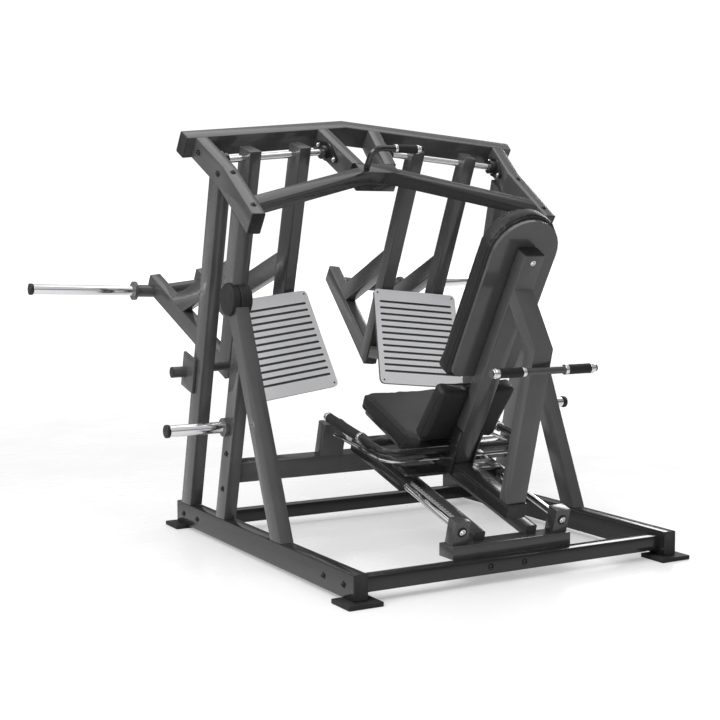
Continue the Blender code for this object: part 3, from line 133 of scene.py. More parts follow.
# ---------------------------------------------------------------- material nodes
class Shader:
    """A Principled material that is put together one node at a time."""

    def __init__(self, name):
        self.material = bpy.data.materials.new(name)
        self.material.use_nodes = True
        self.tree = self.material.node_tree
        self.principled = self.tree.nodes["Principled BSDF"]
        self.place = self.add("ShaderNodeTexCoord").outputs["Object"]

    def add(self, kind, **settings):
        node = self.tree.nodes.new(kind)
        for key, value in settings.items():
            setattr(node, key, value)
        return node

    def feed(self, socket, value):
        if isinstance(value, bpy.types.NodeSocket):
            self.tree.links.new(value, socket)
        else:
            socket.default_value = value

    def set(self, **values):
        for key, value in values.items():
            self.feed(self.principled.inputs[key.replace("_", " ")], value)

    def scaled(self, scale):
        """The object's coordinates, stretched by scale on each axis."""
        node = self.add("ShaderNodeMapping")
        self.feed(node.inputs["Vector"], self.place)
        node.inputs["Scale"].default_value = scale
        return node.outputs["Vector"]

    def noise(self, scale, detail=3.0, roughness=0.55, vector=None):
        node = self.add("ShaderNodeTexNoise")
        self.feed(node.inputs["Vector"], vector or self.place)
        node.inputs["Scale"].default_value = scale
        node.inputs["Detail"].default_value = detail
        node.inputs["Roughness"].default_value = roughness
        return node.outputs["Fac"]

    def cells(self, scale, feature="DISTANCE_TO_EDGE", vector=None):
        node = self.add("ShaderNodeTexVoronoi", feature=feature)
        self.feed(node.inputs["Vector"], vector or self.place)
        node.inputs["Scale"].default_value = scale
        return node.outputs["Distance"]

    def span(self, value, low, high, to_low, to_high):
        """Maps low..high to to_low..to_high, held at both ends."""
        node = self.add("ShaderNodeMapRange")
        self.feed(node.inputs["Value"], value)
        for socket, number in zip(RANGE_SOCKETS, (low, high, to_low, to_high)):
            node.inputs[socket].default_value = number
        return node.outputs["Result"]

    def mix(self, amount, first, second):
        node = self.add("ShaderNodeMix", data_type="RGBA")
        self.feed(node.inputs[0], amount)
        self.feed(node.inputs[6], first)
        self.feed(node.inputs[7], second)
        return node.outputs[2]

    def maths(self, operation, first, second):
        node = self.add("ShaderNodeMath", operation=operation)
        self.feed(node.inputs[0], first)
        self.feed(node.inputs[1], second)
        return node.outputs["Value"]

    def bump(self, height, distance, strength=1.0, base=None):
        node = self.add("ShaderNodeBump")
        self.feed(node.inputs["Height"], height)
        node.inputs["Distance"].default_value = distance
        node.inputs["Strength"].default_value = strength
        if base is not None:
            self.feed(node.inputs["Normal"], base)
        return node.outputs["Normal"]

    def edges(self, radius):
        """About 1 along the piece's sharp edges, and 0 on its flats."""
        bevel = self.add("ShaderNodeBevel", samples=4)
        bevel.inputs["Radius"].default_value = radius
        flat = self.add("ShaderNodeNewGeometry").outputs["Normal"]
        dot = self.add("ShaderNodeVectorMath", operation="DOT_PRODUCT")
        self.feed(dot.inputs[0], bevel.outputs["Normal"])
        self.feed(dot.inputs[1], flat)
        return self.span(dot.outputs["Value"], 0.80, 0.98, 1.0, 0.0)


    def broadside(self, direction):
        """1 on faces that look along direction or straight away from it, and 0 on the edges between."""
        normal = self.add("ShaderNodeTexCoord").outputs["Normal"]
        dot = self.add("ShaderNodeVectorMath", operation="DOT_PRODUCT")
        self.feed(dot.inputs[0], normal)
        dot.inputs[1].default_value = direction
        return self.span(self.maths("ABSOLUTE", dot.outputs["Value"], 0.0), 0.80, 0.92, 0.0, 1.0)

    def reach(self):
        """Distance from the object's origin."""
        node = self.add("ShaderNodeVectorMath", operation="LENGTH")
        self.feed(node.inputs[0], self.place)
        return node.outputs["Value"]


def grey(value, alpha=1.0):
    return (value, value, value * 1.02, alpha)


def powder_coat(name, value, roughness, metallic):
    """Glossy powder coat: orange-peel skin, faint handling marks, and paint thinned at the edges."""
    shader = Shader(name)
    clouds = shader.noise(5.0, 4.0)
    peel = shader.noise(620.0, 2.0)
    smudge = shader.noise(26.0, 5.0, 0.62)
    rubs = shader.span(shader.noise(70.0), 0.46, 0.66, 0.0, 1.0)
    worn = shader.maths("MULTIPLY", shader.edges(0.0022), rubs)
    body = shader.mix(shader.span(clouds, 0.35, 0.65, 0.0, 1.0), grey(value * 0.92), grey(value * 1.08))
    colour = shader.mix(shader.maths("MULTIPLY", worn, 0.08), body, grey(min(1.0, value * 2.6)))
    gloss = shader.span(smudge, 0.35, 0.70, roughness - 0.035, roughness + 0.065)
    shader.set(
        Base_Color=colour,
        Roughness=gloss,
        Metallic=metallic,
        Coat_Weight=0.18,
        Coat_Roughness=0.06,
        Normal=shader.bump(peel, 0.00030, 0.10),
    )
    return shader.material


def chrome_plate(name, value=0.86, along=Z):
    """Bright plating with fine lengthways polishing lines and a few duller patches."""
    shader = Shader(name)
    stretch = Vector((900, 900, 900)) - 880 * Vector((abs(along.x), abs(along.y), abs(along.z)))
    lines = shader.noise(1.0, 2.0, vector=shader.scaled(stretch))
    patches = shader.noise(18.0, 4.0)
    shader.set(
        Base_Color=shader.mix(patches, grey(value * 0.94), grey(value)),
        Metallic=1.0,
        Roughness=shader.span(patches, 0.35, 0.70, 0.045, 0.13),
        Normal=shader.bump(lines, 0.00002, 0.25),
    )
    return shader.material


def satin_sheet(name, across, value, face=None):
    """Satin sheet, brushed one way, with faint finger marks. If face is told, the faces off it go near-black: painted
    shade on the slot walls, and on the rim a stand-in for the black backing plate's edge.
    """
    shader = Shader(name)
    stretch = Vector((1500, 1500, 1500)) - 1488 * Vector((abs(across.x), abs(across.y), abs(across.z)))
    brushing = shader.noise(1.0, 3.0, 0.7, vector=shader.scaled(stretch))
    marks = shader.noise(9.0, 5.0, 0.6)
    colour = shader.mix(shader.span(brushing, 0.3, 0.7, 0.0, 1.0), grey(value * 0.93), grey(value * 1.03))
    metal = 0.30
    if face is not None:
        # Painted shade: the slot walls go near-black and lose their metal, as the shaded slots look; the rim's black
        # stands in for the backing plate's black edge.
        flat = shader.broadside(face)
        colour = shader.mix(flat, grey(0.008), colour)
        metal = shader.maths("MULTIPLY", flat, metal)
    shader.set(
        Base_Color=colour,
        Metallic=metal,
        Roughness=shader.span(marks, 0.3, 0.7, 0.34, 0.47),
        Normal=shader.bump(brushing, 0.00006, 0.35),
    )
    return shader.material


def rubber(name, value=0.016, roughness=0.62):
    shader = Shader(name)
    grain = shader.noise(1400.0, 2.0)
    dust = shader.noise(14.0, 5.0, 0.65)
    shader.set(
        Base_Color=shader.mix(shader.span(dust, 0.45, 0.75, 0.0, 1.0), grey(value), grey(value * 1.9)),
        Roughness=shader.span(dust, 0.3, 0.7, roughness - 0.06, roughness + 0.10),
        Specular_IOR_Level=0.35,
        Normal=shader.bump(grain, 0.00025, 0.35),
    )
    return shader.material


def moulded_plastic(name, value=0.022):
    shader = Shader(name)
    stipple = shader.cells(1100.0, "F1")
    scuffs = shader.noise(40.0, 4.0)
    shader.set(
        Base_Color=shader.mix(scuffs, grey(value * 0.8), grey(value * 1.3)),
        Roughness=shader.span(scuffs, 0.35, 0.65, 0.38, 0.52),
        Normal=shader.bump(stipple, 0.00012, 0.30),
    )
    return shader.material


def leatherette(name, value=0.020):
    """Black leatherette: pebbled grain, soft creases, and a polish where it is rubbed."""
    shader = Shader(name)
    warp = shader.noise(60.0, 2.0)
    pebbles = shader.maths("ADD", shader.cells(620.0), shader.maths("MULTIPLY", warp, 0.10))
    creases = shader.noise(17.0, 6.0, 0.60)
    pores = shader.noise(2600.0, 2.0)
    rubbed = shader.noise(6.0, 3.0)
    grain = shader.bump(shader.span(pebbles, 0.0, 0.16, 0.0, 1.0), 0.00030, 0.45)
    grain = shader.bump(pores, 0.00010, 0.22, grain)
    grain = shader.bump(creases, 0.0022, 0.16, grain)
    shader.set(
        Base_Color=shader.mix(
            shader.span(rubbed, 0.35, 0.65, 0.0, 1.0), grey(value * 0.86), grey(value * 1.22)
        ),
        Roughness=shader.span(rubbed, 0.30, 0.70, 0.40, 0.52),
        Specular_IOR_Level=0.34,
        Sheen_Weight=0.03,
        Sheen_Roughness=0.5,
        Normal=grain,
    )
    return shader.material


PAINT = powder_coat("frame_powder_coat", 0.072, 0.20, 0.0)
DARK_PAINT = powder_coat("dark_powder_coat", 0.020, 0.18, 0.0)
CHROME = chrome_plate("bright_chrome", along=X)
ROD_CHROME = chrome_plate("guide_rod_chrome", along=Y)
ZINC = chrome_plate("bolt_plating", 0.74)
SATIN = satin_sheet("footplate_satin", X, 0.70)
RACK_STEEL = satin_sheet("rack_steel", X, 0.50)
RUBBER = rubber("black_rubber")
GRIP_RUBBER = rubber("grip_rubber", 0.013, 0.55)
PLASTIC = moulded_plastic("moulded_end_cap", 0.012)
LEATHER = leatherette("black_leatherette", 0.013)
THREAD = rubber("seam_piping", 0.012, 0.50)
BLACK_BOLT = powder_coat("black_oxide_bolt", 0.012, 0.22, 0.30)


# ---------------------------------------------------------------- the CAD nodes' finish
def finish_node(node, material):
    """Gives a CAD node its finish, with round faces shaded smooth and square edges kept crisp."""
    piece = NODES[node]
    piece.data.materials.clear()
    piece.data.materials.append(material)
    piece.data.shade_smooth()
    weld = piece.modifiers.new("one_skin", "WELD")
    weld.merge_threshold = 0.00002
    split = piece.modifiers.new("crisp_edges", "EDGE_SPLIT")
    split.split_angle = FACET_ANGLE


DARK_NODES = ("seat_carriage", "side_handle_bar", "base_rail", "front_cross_member",
              "rear_cross_member", "front_beam", "top_handle")


def finish_nodes():
    by_slot = {
        "grey_paint": PAINT,
        "black_paint": DARK_PAINT,
        "black_rubber": RUBBER,
        "chrome": CHROME,
        "satin_steel": SATIN,
        "leatherette": LEATHER,
    }
    for entry in frame["record"]["subparts"]:
        finish_node(entry["node"], by_slot[entry["material_slot"]])
    for node in NODES:
        if node.startswith(DARK_NODES):
            NODES[node].data.materials[0] = DARK_PAINT
        if node.startswith("guide_rod"):
            NODES[node].data.materials[0] = ROD_CHROME
    NODES["position_rack"].data.materials[0] = RACK_STEEL
    for side, _ in SIDES:
        _, normal = broad_face(f"footplate_{side}", Vector((0, -1, 0.4)))
        # Each footplate's slot walls and rim get painted near-black shade, with the rim standing in for the black
        # backing plate's edge.
        NODES[f"footplate_{side}"].data.materials[0] = satin_sheet(f"footplate_satin_{side}", X, 0.92, normal)


# ---------------------------------------------------------------- measuring the frame
def node_points(node):
    return np.array([tuple(vertex.co) for vertex in NODES[node].data.vertices])


def middle(node):
    low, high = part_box(node)
    return (low + high) / 2


def long_axis(node):
    """(start, end, radius) of a straight round or square piece, with start at the lower X, Y or Z end."""
    points = node_points(node)
    centre = points.mean(axis=0)
    _, _, directions = np.linalg.svd(points - centre, full_matrices=False)
    along = directions[0]
    if along[np.argmax(np.abs(along))] < 0:
        along = -along
    reach = (points - centre) @ along
    side = points - centre - np.outer(reach, along)
    radius = float(np.linalg.norm(side, axis=1).max())
    centre, along = Vector(centre), Vector(along)
    return centre + along * float(reach.min()), centre + along * float(reach.max()), radius


def broad_face(node, towards):
    """(middle, normal) of a slab's broad face, on the side that looks most along towards."""
    totals = {}
    for face in NODES[node].data.polygons:
        key = tuple(round(value, 2) for value in face.normal)
        area, normal = totals.get(key, (0.0, face.normal.copy()))
        totals[key] = (area + face.area, normal)
    largest = max(area for area, _ in totals.values())
    broad = [normal for area, normal in totals.values() if area > 0.5 * largest]
    normal = max(broad, key=lambda candidate: candidate.dot(towards)).normalized()
    points = node_points(node)
    depth = (points @ np.array(normal)).max()
    centre = Vector((points.min(axis=0) + points.max(axis=0)) / 2)
    return centre + normal * (float(depth) - centre.dot(normal)), normal


def facing(direction, spin=X):
    """A rotation whose Z is direction and whose X is as near as it can be to spin."""
    direction = direction.normalized()
    if abs(direction.dot(spin)) > 0.95:
        spin = Y
    across = (spin - direction * spin.dot(direction)).normalized()
    return Matrix((across, direction.cross(across), direction)).transposed()


# ---------------------------------------------------------------- turned and swept pieces
def add_piece(name, mesh, material, body):
    data = bpy.data.meshes.new(name)
    mesh.to_mesh(data)
    mesh.free()
    data.materials.append(material)
    piece = bpy.data.objects.new(name, data)
    bpy.context.scene.collection.objects.link(piece)
    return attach(piece, body)


def turned(name, profile, place, direction, material, body, steps=ROUND_STEPS, smooth=50, hexed=()):
    """A lathe shape: profile is (distance along direction, radius) from one end to the other.

    The rows of the profile whose numbers are in hexed are drawn as a hexagon, such as a socket's walls.
    """
    turn = facing(direction)
    mesh = bmesh.new()
    rings = []
    for number, (distance, radius) in enumerate(profile):
        if radius == 0:
            rings.append([mesh.verts.new(place + turn @ Vector((0, 0, distance)))])
            continue
        ring = []
        for step in range(steps):
            angle = 2 * math.pi * step / steps
            reach = radius
            if number in hexed:
                reach = radius * math.cos(math.pi / 6) / math.cos(angle % (math.pi / 3) - math.pi / 6)
            ring.append(mesh.verts.new(place + turn @ Vector((reach * math.cos(angle), reach * math.sin(angle), distance))))
        rings.append(ring)
    for low, high in zip(rings, rings[1:]):
        for step in range(steps):
            after = (step + 1) % steps
            if len(low) == 1:
                mesh.faces.new((low[0], high[after], high[step]))
            elif len(high) == 1:
                mesh.faces.new((low[step], low[after], high[0]))
            else:
                mesh.faces.new((low[step], low[after], high[after], high[step]))
    bmesh.ops.recalc_face_normals(mesh, faces=mesh.faces[:])
    piece = add_piece(name, mesh, material, body)
    piece.data.shade_smooth()
    piece.data.set_sharp_from_angle(angle=math.radians(smooth))
    return piece


def rounded_profile(start, end, radius, rim, steps=4):
    """A closed bar's profile with rounded rims, for turned()."""
    profile = [(start, 0), (start, radius - rim)]
    for step in range(1, steps + 1):
        angle = math.pi / 2 * step / steps
        profile.append((start + rim * (1 - math.cos(angle)), radius - rim * (1 - math.sin(angle))))
    for step in range(steps + 1):
        angle = math.pi / 2 * step / steps
        profile.append((end - rim * (1 - math.sin(angle)), radius - rim * (1 - math.cos(angle))))
    profile.append((end, 0))
    return profile


def ring_profile(start, end, radius, bore, rim):
    """A closed ring's profile round a bar, for turned(): its last row meets its first."""
    return [
        (start + rim, bore),
        (start, bore + rim),
        (start, radius - rim),
        (start + rim, radius),
        (end - rim, radius),
        (end, radius - rim),
        (end, bore + rim),
        (end - rim, bore),
        (start + rim, bore),
    ]


def ring(name, start, end, radius, bore, rim, place, direction, material, body):
    piece = turned(name, ring_profile(start, end, radius, bore, rim), place, direction, material, body)
    weld_rows(piece)
    return piece


def weld_rows(piece):
    mesh = bmesh.new()
    mesh.from_mesh(piece.data)
    bmesh.ops.remove_doubles(mesh, verts=mesh.verts[:], dist=0.00001)
    bmesh.ops.recalc_face_normals(mesh, faces=mesh.faces[:])
    mesh.to_mesh(piece.data)
    mesh.free()


def button_bolt(name, place, direction, radius, material, body, washer=True):
    """A domed bolt with a hexagon socket, standing on its washer."""
    height = radius * 0.62
    socket = radius * 0.42
    lift = 0.0
    profile = [(-0.0008, 0)]
    if washer:
        lift = radius * 0.22
        profile += [(-0.0008, radius * 1.45), (lift * 0.7, radius * 1.45), (lift, radius * 1.36), (lift, radius * 0.98)]
    else:
        profile += [(-0.0008, radius)]
    dome = [(lift + height * math.sin(angle), radius * (0.42 + 0.58 * math.cos(angle))) for angle in
            (math.radians(step) for step in (12, 32, 52, 72, 88))]
    profile += dome
    first = len(profile)
    profile += [(lift + height, socket), (lift + height * 0.25, socket * 0.96), (lift + height * 0.25, 0)]
    return turned(name, profile, place, direction, material, body, steps=24, smooth=40, hexed=(first, first + 1))


def swept(name, points, radius, material, body, closed=False, resolution=2):
    curve = bpy.data.curves.new(name, "CURVE")
    curve.dimensions = "3D"
    curve.bevel_depth = radius
    curve.bevel_resolution = resolution
    curve.use_fill_caps = not closed
    spline = curve.splines.new("POLY")
    spline.points.add(len(points) - 1)
    for point, place in zip(spline.points, points):
        point.co = (*place, 1)
    spline.use_cyclic_u = closed
    guide = bpy.data.objects.new(name + "_guide", curve)
    bpy.context.scene.collection.objects.link(guide)
    graph = bpy.context.evaluated_depsgraph_get()
    data = bpy.data.meshes.new_from_object(guide.evaluated_get(graph))
    bpy.data.objects.remove(guide, do_unlink=True)
    mesh = bmesh.new()
    mesh.from_mesh(data)
    bmesh.ops.remove_doubles(mesh, verts=mesh.verts[:], dist=0.00001)
    bmesh.ops.recalc_face_normals(mesh, faces=mesh.faces[:])
    piece = add_piece(name, mesh, material, body)
    piece.data.shade_smooth()
    return piece


def end_cap(name, place, direction, spin, width, depth, material, body, stand=0.004, corner=0.006):
    """A moulded cap over a tube's square end, with a rounded rim and a shallow dish."""
    turn = facing(direction, spin)
    mesh = bmesh.new()
    rows = (
        (-0.0002, 0.0, corner),
        (stand * 0.55, 0.0, corner),
        (stand, 0.0018, corner),
        (stand, 0.0060, corner * 0.7),
        (stand - 0.0009, 0.0076, corner * 0.6),
    )
    rings = []
    for lift, inset, radius in rows:
        ring_points = []
        for number in range(4):
            sign_x = 1 if number in (0, 3) else -1
            sign_y = 1 if number in (0, 1) else -1
            centre = Vector((sign_x * (width / 2 - inset - radius), sign_y * (depth / 2 - inset - radius)))
            for step in range(4):
                angle = math.pi / 2 * (number + step / 3)
                spot = Vector((centre.x + radius * math.cos(angle), centre.y + radius * math.sin(angle), lift))
                ring_points.append(mesh.verts.new(place + turn @ spot))
        rings.append(ring_points)
    for low, high in zip(rings, rings[1:]):
        for step, _ in enumerate(low):
            after = (step + 1) % len(low)
            mesh.faces.new((low[step], low[after], high[after], high[step]))
    mesh.faces.new(rings[0])
    mesh.faces.new(rings[-1])
    bmesh.ops.recalc_face_normals(mesh, faces=mesh.faces[:])
    piece = add_piece(name, mesh, material, body)
    piece.data.shade_smooth()
    piece.data.set_sharp_from_angle(angle=math.radians(35))
    return piece


# ---------------------------------------------------------------- soft pads
def cushion(node, name, shrink, travel, pressure, voxel=0.0055):
    """A padded form grown inside the CAD solid by cloth under pressure, and then smoothed once."""
    source = NODES[node]
    data = source.data.copy()
    piece = bpy.data.objects.new(name, data)
    bpy.context.scene.collection.objects.link(piece)
    mesh = bmesh.new()
    mesh.from_mesh(data)
    bmesh.ops.remove_doubles(mesh, verts=mesh.verts[:], dist=0.00002)
    mesh.to_mesh(data)
    mesh.free()
    remesh = piece.modifiers.new("even_mesh", "REMESH")
    remesh.mode = "VOXEL"
    remesh.voxel_size = voxel * 1.0
    apply_modifiers(piece)
    shrink_along_normals(piece, shrink)
    start = np.array([tuple(vertex.co) for vertex in piece.data.vertices])
    inflate(piece, pressure)
    grown = np.array([tuple(vertex.co) for vertex in piece.data.vertices])
    step = grown - start
    length = np.linalg.norm(step, axis=1, keepdims=True)
    allowed = np.minimum(length, travel) / np.maximum(length, 1e-9)
    piece.data.vertices.foreach_set("co", (start + step * allowed).astype(np.float32).ravel())
    piece.data.update()
    smooth = piece.modifiers.new("settle", "SMOOTH")
    smooth.factor = 0.5
    smooth.iterations = 4
    apply_modifiers(piece)
    finer = piece.modifiers.new("finer", "SUBSURF")
    finer.levels = 1
    finer.render_levels = 1
    apply_modifiers(piece)
    piece.data.materials.clear()
    piece.data.materials.append(LEATHER)
    piece.data.shade_smooth()
    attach(piece, BODY_OF[node])
    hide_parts(node)
    return piece


def apply_modifiers(piece):
    graph = bpy.context.evaluated_depsgraph_get()
    graph.update()
    data = bpy.data.meshes.new_from_object(piece.evaluated_get(graph))
    old = piece.data
    piece.modifiers.clear()
    piece.data = data
    bpy.data.meshes.remove(old)


def shrink_along_normals(piece, amount):
    data = piece.data
    count = len(data.vertices)
    places = np.empty(count * 3, np.float32)
    normals = np.empty(count * 3, np.float32)
    data.vertices.foreach_get("co", places)
    data.vertices.foreach_get("normal", normals)
    data.vertices.foreach_set("co", places - normals * amount)
    data.update()


def inflate(piece, pressure):
    cloth = piece.modifiers.new("padding", "CLOTH")
    settings = cloth.settings
    settings.quality = 5
    settings.mass = 0.3
    settings.tension_stiffness = 18
    settings.compression_stiffness = 18
    settings.shear_stiffness = 6
    settings.bending_stiffness = 2.0
    settings.use_pressure = True
    settings.uniform_pressure_force = pressure
    settings.effector_weights.gravity = 0
    cloth.point_cache.frame_start = 1
    cloth.point_cache.frame_end = 20
    for number in range(1, 21):
        bpy.context.scene.frame_set(number)
    apply_modifiers(piece)
    bpy.context.scene.frame_set(1)


def pad_rim(node, towards):
    """The pad's outline as seen square on: (face middle, normal, points round the rim, thickness)."""
    spot, normal = broad_face(node, towards)
    turn = facing(normal)
    flat = [(turn.transposed() @ (Vector(point) - spot)) for point in node_points(node)]
    thickness = -min(point.z for point in flat)
    hull = convex_outline([(point.x, point.y) for point in flat])
    return spot, normal, turn, hull, thickness


def convex_outline(points):
    """Andrew's monotone chain, counter-clockwise."""
    points = sorted(set((round(x, 5), round(y, 5)) for x, y in points))

    def chain(ordered):
        kept = []
        for point in ordered:
            while len(kept) > 1 and turn_of(kept[-2], kept[-1], point) <= 1e-9:
                kept.pop()
            kept.append(point)
        return kept[:-1]

    return chain(points) + chain(points[::-1])


def turn_of(first, second, third):
    return (second[0] - first[0]) * (third[1] - first[1]) - (second[1] - first[1]) * (third[0] - first[0])


def inset_outline(outline, amount, spacing):
    """The outline moved inwards by amount and cut into even steps."""
    centre = Vector((sum(x for x, _ in outline), sum(y for _, y in outline))) / len(outline)
    points = [Vector(point) for point in outline]
    moved = []
    for before, here, after in zip(points[-1:] + points[:-1], points, points[1:] + points[:1]):
        along = (after - before).normalized()
        inward = Vector((-along.y, along.x))
        if inward.dot(centre - here) < 0:
            inward = -inward
        moved.append(here + inward * amount)
    even = []
    for here, after in zip(moved, moved[1:] + moved[:1]):
        count = max(1, round((after - here).length / spacing))
        even += [here.lerp(after, step / count) for step in range(count)]
    return even


def piping(node, cushion_piece, towards, inset, depth, radius):
    """A sewn welt round the pad, laid on the cushion's own surface at a depth below its face."""
    spot, _, turn, hull, _ = pad_rim(node, towards)
    points = []
    for flat in inset_outline(hull, inset, 0.006):
        guess = spot + turn @ Vector((flat.x, flat.y, -depth))
        found, place, normal, _ = cushion_piece.closest_point_on_mesh(guess)
        if found:
            points.append(place + normal * radius * 0.25)
    smoothed = points
    for _ in range(3):
        smoothed = [
            (before + here * 2 + after) / 4
            for before, here, after in zip(smoothed[-1:] + smoothed[:-1], smoothed, smoothed[1:] + smoothed[:1])
        ]
    piece = swept(f"{node}_welt_{round(depth * 1000)}", smoothed, radius, THREAD, BODY_OF[node], closed=True,
                  resolution=1)
    return piece


def build_pads():
    back = cushion("back_pad", "back_cushion", 0.0050, 0.0090, 4.0)
    seat = cushion("seat_pad", "seat_cushion", 0.0050, 0.0095, 4.0)
    lumbar = cushion("lumbar_pad", "lumbar_cushion", 0.0045, 0.0085, 4.0)
    forward = Vector((0, 0.8, 0.5))
    pads = (("back_pad", back, forward), ("seat_pad", seat, Z), ("lumbar_pad", lumbar, forward))
    for node, piece, towards in pads:
        _, _, _, _, thickness = pad_rim(node, towards)
        piping(node, piece, towards, 0.0, thickness - 0.012, 0.0016)
        piping(node, piece, towards, 0.0, 0.014, 0.0011)


# ---------------------------------------------------------------- chrome sleeves and grips
def build_sleeves():
    """Loading and storage sleeves: a bright tube with a rolled rim and a domed cap on its outer end."""
    for side, sign in SIDES:
        for kind in ("load_horn", "storage_horn"):
            node = f"{kind}_{side}"
            start, end, radius = long_axis(node)
            if start.x * sign > end.x * sign:
                start, end = end, start
            along = (end - start).normalized()
            length = (end - start).length
            profile = [(0, 0), (0, radius), (length - 0.020, radius), (length - 0.0185, radius - 0.0010),
                       (length - 0.018, radius - 0.0030), (length - 0.018, 0)]
            sleeve = turned(f"{kind}_sleeve_{side}", profile, start, along, CHROME, BODY_OF[node], steps=64)
            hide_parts(node)
            cap_radius = radius + 0.0035
            cap = rounded_profile(length - 0.018, length, cap_radius, 0.004)
            turned(f"{kind}_cap_{side}", cap, start, along, PLASTIC, BODY_OF[node], steps=64)


def grip_profile(length, radius, rows):
    """A hand grip: rounded ends, a slight swell, and fine ribs round its middle."""
    profile = [(0.0, 0.0), (0.0, radius * 0.90), (0.0018, radius * 1.02), (0.0060, radius * 1.02)]
    first, last = 0.010, length - 0.010
    pitch = (last - first) / rows
    for row in range(rows):
        foot = first + row * pitch
        profile += [
            (foot, radius * 0.955),
            (foot + pitch * 0.30, radius),
            (foot + pitch * 0.70, radius),
            (foot + pitch, radius * 0.955),
        ]
    profile += [(length - 0.0060, radius * 1.02), (length - 0.0018, radius * 1.02), (length, radius * 0.90), (length, 0.0)]
    merged = [profile[0]]
    for row in profile[1:]:
        if row != merged[-1]:
            merged.append(row)
    return merged


def build_grip(node, ring_width, tip=None):
    """A ribbed grip between two chrome rings. tip is the side of the grip where its tube ends."""
    start, end, radius = long_axis(node)
    along = (end - start).normalized()
    length = (end - start).length
    body = BODY_OF[node]
    grip = turned(f"{node}_sleeve", grip_profile(length, radius, max(6, round(length / 0.009))), start, along, GRIP_RUBBER,
                  body, steps=32)
    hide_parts(node)
    for word, place, away in (("low", start, -along), ("high", end, along)):
        profile = rounded_profile(-0.001, ring_width, radius * 1.03, 0.0016)
        turned(f"{node}_ring_{word}", profile, place, away, CHROME, body, steps=32)
        if tip is not None and (place - tip).length < length / 2:
            plug = rounded_profile(ring_width - 0.001, ring_width + 0.010, radius * 0.86, 0.0035)
            turned(f"{node}_plug_{word}", plug, place, away, CHROME, body, steps=32)


def build_grips():
    for side, sign in SIDES:
        node = f"back_grip_{side}"
        low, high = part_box(node)
        outer = Vector((high.x if sign > 0 else low.x, (low.y + high.y) / 2, (low.z + high.z) / 2))
        build_grip(node, 0.014, outer)
        node = f"side_grip_{side}"
        low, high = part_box(node)
        build_grip(node, 0.014, Vector(((low.x + high.x) / 2, high.y, high.z)))
    low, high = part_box("top_handle_grip")
    build_grip("top_handle_grip", 0.012, Vector((high.x, (low.y + high.y) / 2, (low.z + high.z) / 2)))


# ---------------------------------------------------------------- hubs, bearings, bolts and caps
def build_hubs():
    for side, _ in SIDES:
        node = f"frame_hub_{side}"
        low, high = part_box(node)
        centre = (low + high) / 2
        radius = (high.z - low.z) / 2
        width = high.x - low.x
        start = Vector((low.x, centre.y, centre.z))
        seam = width * HUB_SEAM[side]
        profile = rounded_profile(0.0, seam, radius, HUB_RIM, 6)[:-1]
        profile[-1] = (seam, radius - HUB_GROOVE)
        profile += [(row, reach) for row, reach in rounded_profile(seam, width, radius, HUB_RIM, 6)[1:]]
        hub = turned(f"hub_cover_{side}", profile, start, X, RUBBER, "frame", steps=64)
        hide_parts(node)


def bolt_row(name, places, direction, radius, material, body, washer=True):
    for number, place in enumerate(places):
        button_bolt(f"{name}_{number}", place, direction, radius, material, body, washer)


def top_point(x, up, depth):
    """A point in the tilted top frame: up runs along the slope from the back apex, depth below its face."""
    return TOP_APEX + X * x + UPHILL * up - TOP_NORMAL * depth


def build_frame_bolts():
    """Bolts where the cross members, legs and beams are fixed to the side frames."""
    for side, sign in SIDES:
        low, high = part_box(f"base_rail_{side}")
        out = X * sign
        face = out * (high.x if sign > 0 else -low.x)
        for member in ("front_cross_member", "rear_cross_member"):
            centre = middle(member)
            shifts = (-RAIL_BOLT_SPREAD, RAIL_BOLT_SPREAD)
            spots = [face + Y * (RAIL_BOLT_MIDDLE[member] + shift) + Z * centre.z for shift in shifts]
            bolt_row(f"rail_bolt_{member}_{side}", spots, out, BOLT_RADIUS, BLACK_BOLT, "frame")
        spots = [face + Y * y + Z * z for y, z in LEG_BOLTS]
        bolt_row(f"leg_bolt_{side}", spots, out, BOLT_RADIUS, BLACK_BOLT, "frame")
        inner_face = out * (low.x if sign > 0 else -high.x)
        nut = inner_face + Y * NUT_PLACE + Z * middle("front_cross_member").z
        button_bolt(f"rail_nut_{side}", nut, -out, BOLT_RADIUS, ZINC, "frame")
        tops = [top_point(sign * RAIL_X, up, 0) for up in SIDE_BEAM_TOP_BOLTS]
        bolt_row(f"side_beam_bolt_{side}", tops, TOP_NORMAL, BOLT_RADIUS, BLACK_BOLT, "frame")
        slant = math.sin(CHEVRON), math.cos(CHEVRON)
        outward = X * sign * slant[1] - UPHILL * slant[0]
        along = X * sign * slant[0] + UPHILL * slant[1]
        bend = top_point(sign * RAIL_X, SIDE_BEAM_BEND, TUBE_DEPTH / 2) + outward * TUBE_WIDTH / 2
        sides = [bend + along * reach for reach in SIDE_BEAM_SIDE_BOLTS]
        bolt_row(f"side_beam_side_bolt_{side}", sides, outward, BOLT_RADIUS, BLACK_BOLT, "frame")
    low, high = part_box("front_cross_member")
    spots = [Vector((x, low.y, (low.z + high.z) / 2)) for x in CROSS_BOLTS]
    bolt_row("cross_bolt", spots, -Y, BOLT_RADIUS, BLACK_BOLT, "frame")


def build_bearing_bolts():
    """Two plated bolts in the ears of each shaft bearing."""
    for side, sign in SIDES:
        start, end, _ = long_axis(f"arm_shaft_{side}")
        along = (end - start).normalized()
        slope = (UPHILL - along * along.dot(UPHILL)).normalized()
        for place, nose in (("inner", along * sign), ("outer", -along * sign)):
            points = [Vector(point) for point in node_points(f"bearing_{place}_{side}")]
            foot = min(point.dot(nose) for point in points)
            axis = start + nose * (foot - start.dot(nose))
            face = axis + nose * FLANGE_THICKNESS
            spots = [face + slope * shift for shift in (-BEARING_BOLTS / 2, BEARING_BOLTS / 2)]
            bolt_row(f"bearing_{place}_bolt_{side}", spots, nose, BEARING_BOLT_RADIUS, ZINC, "frame")


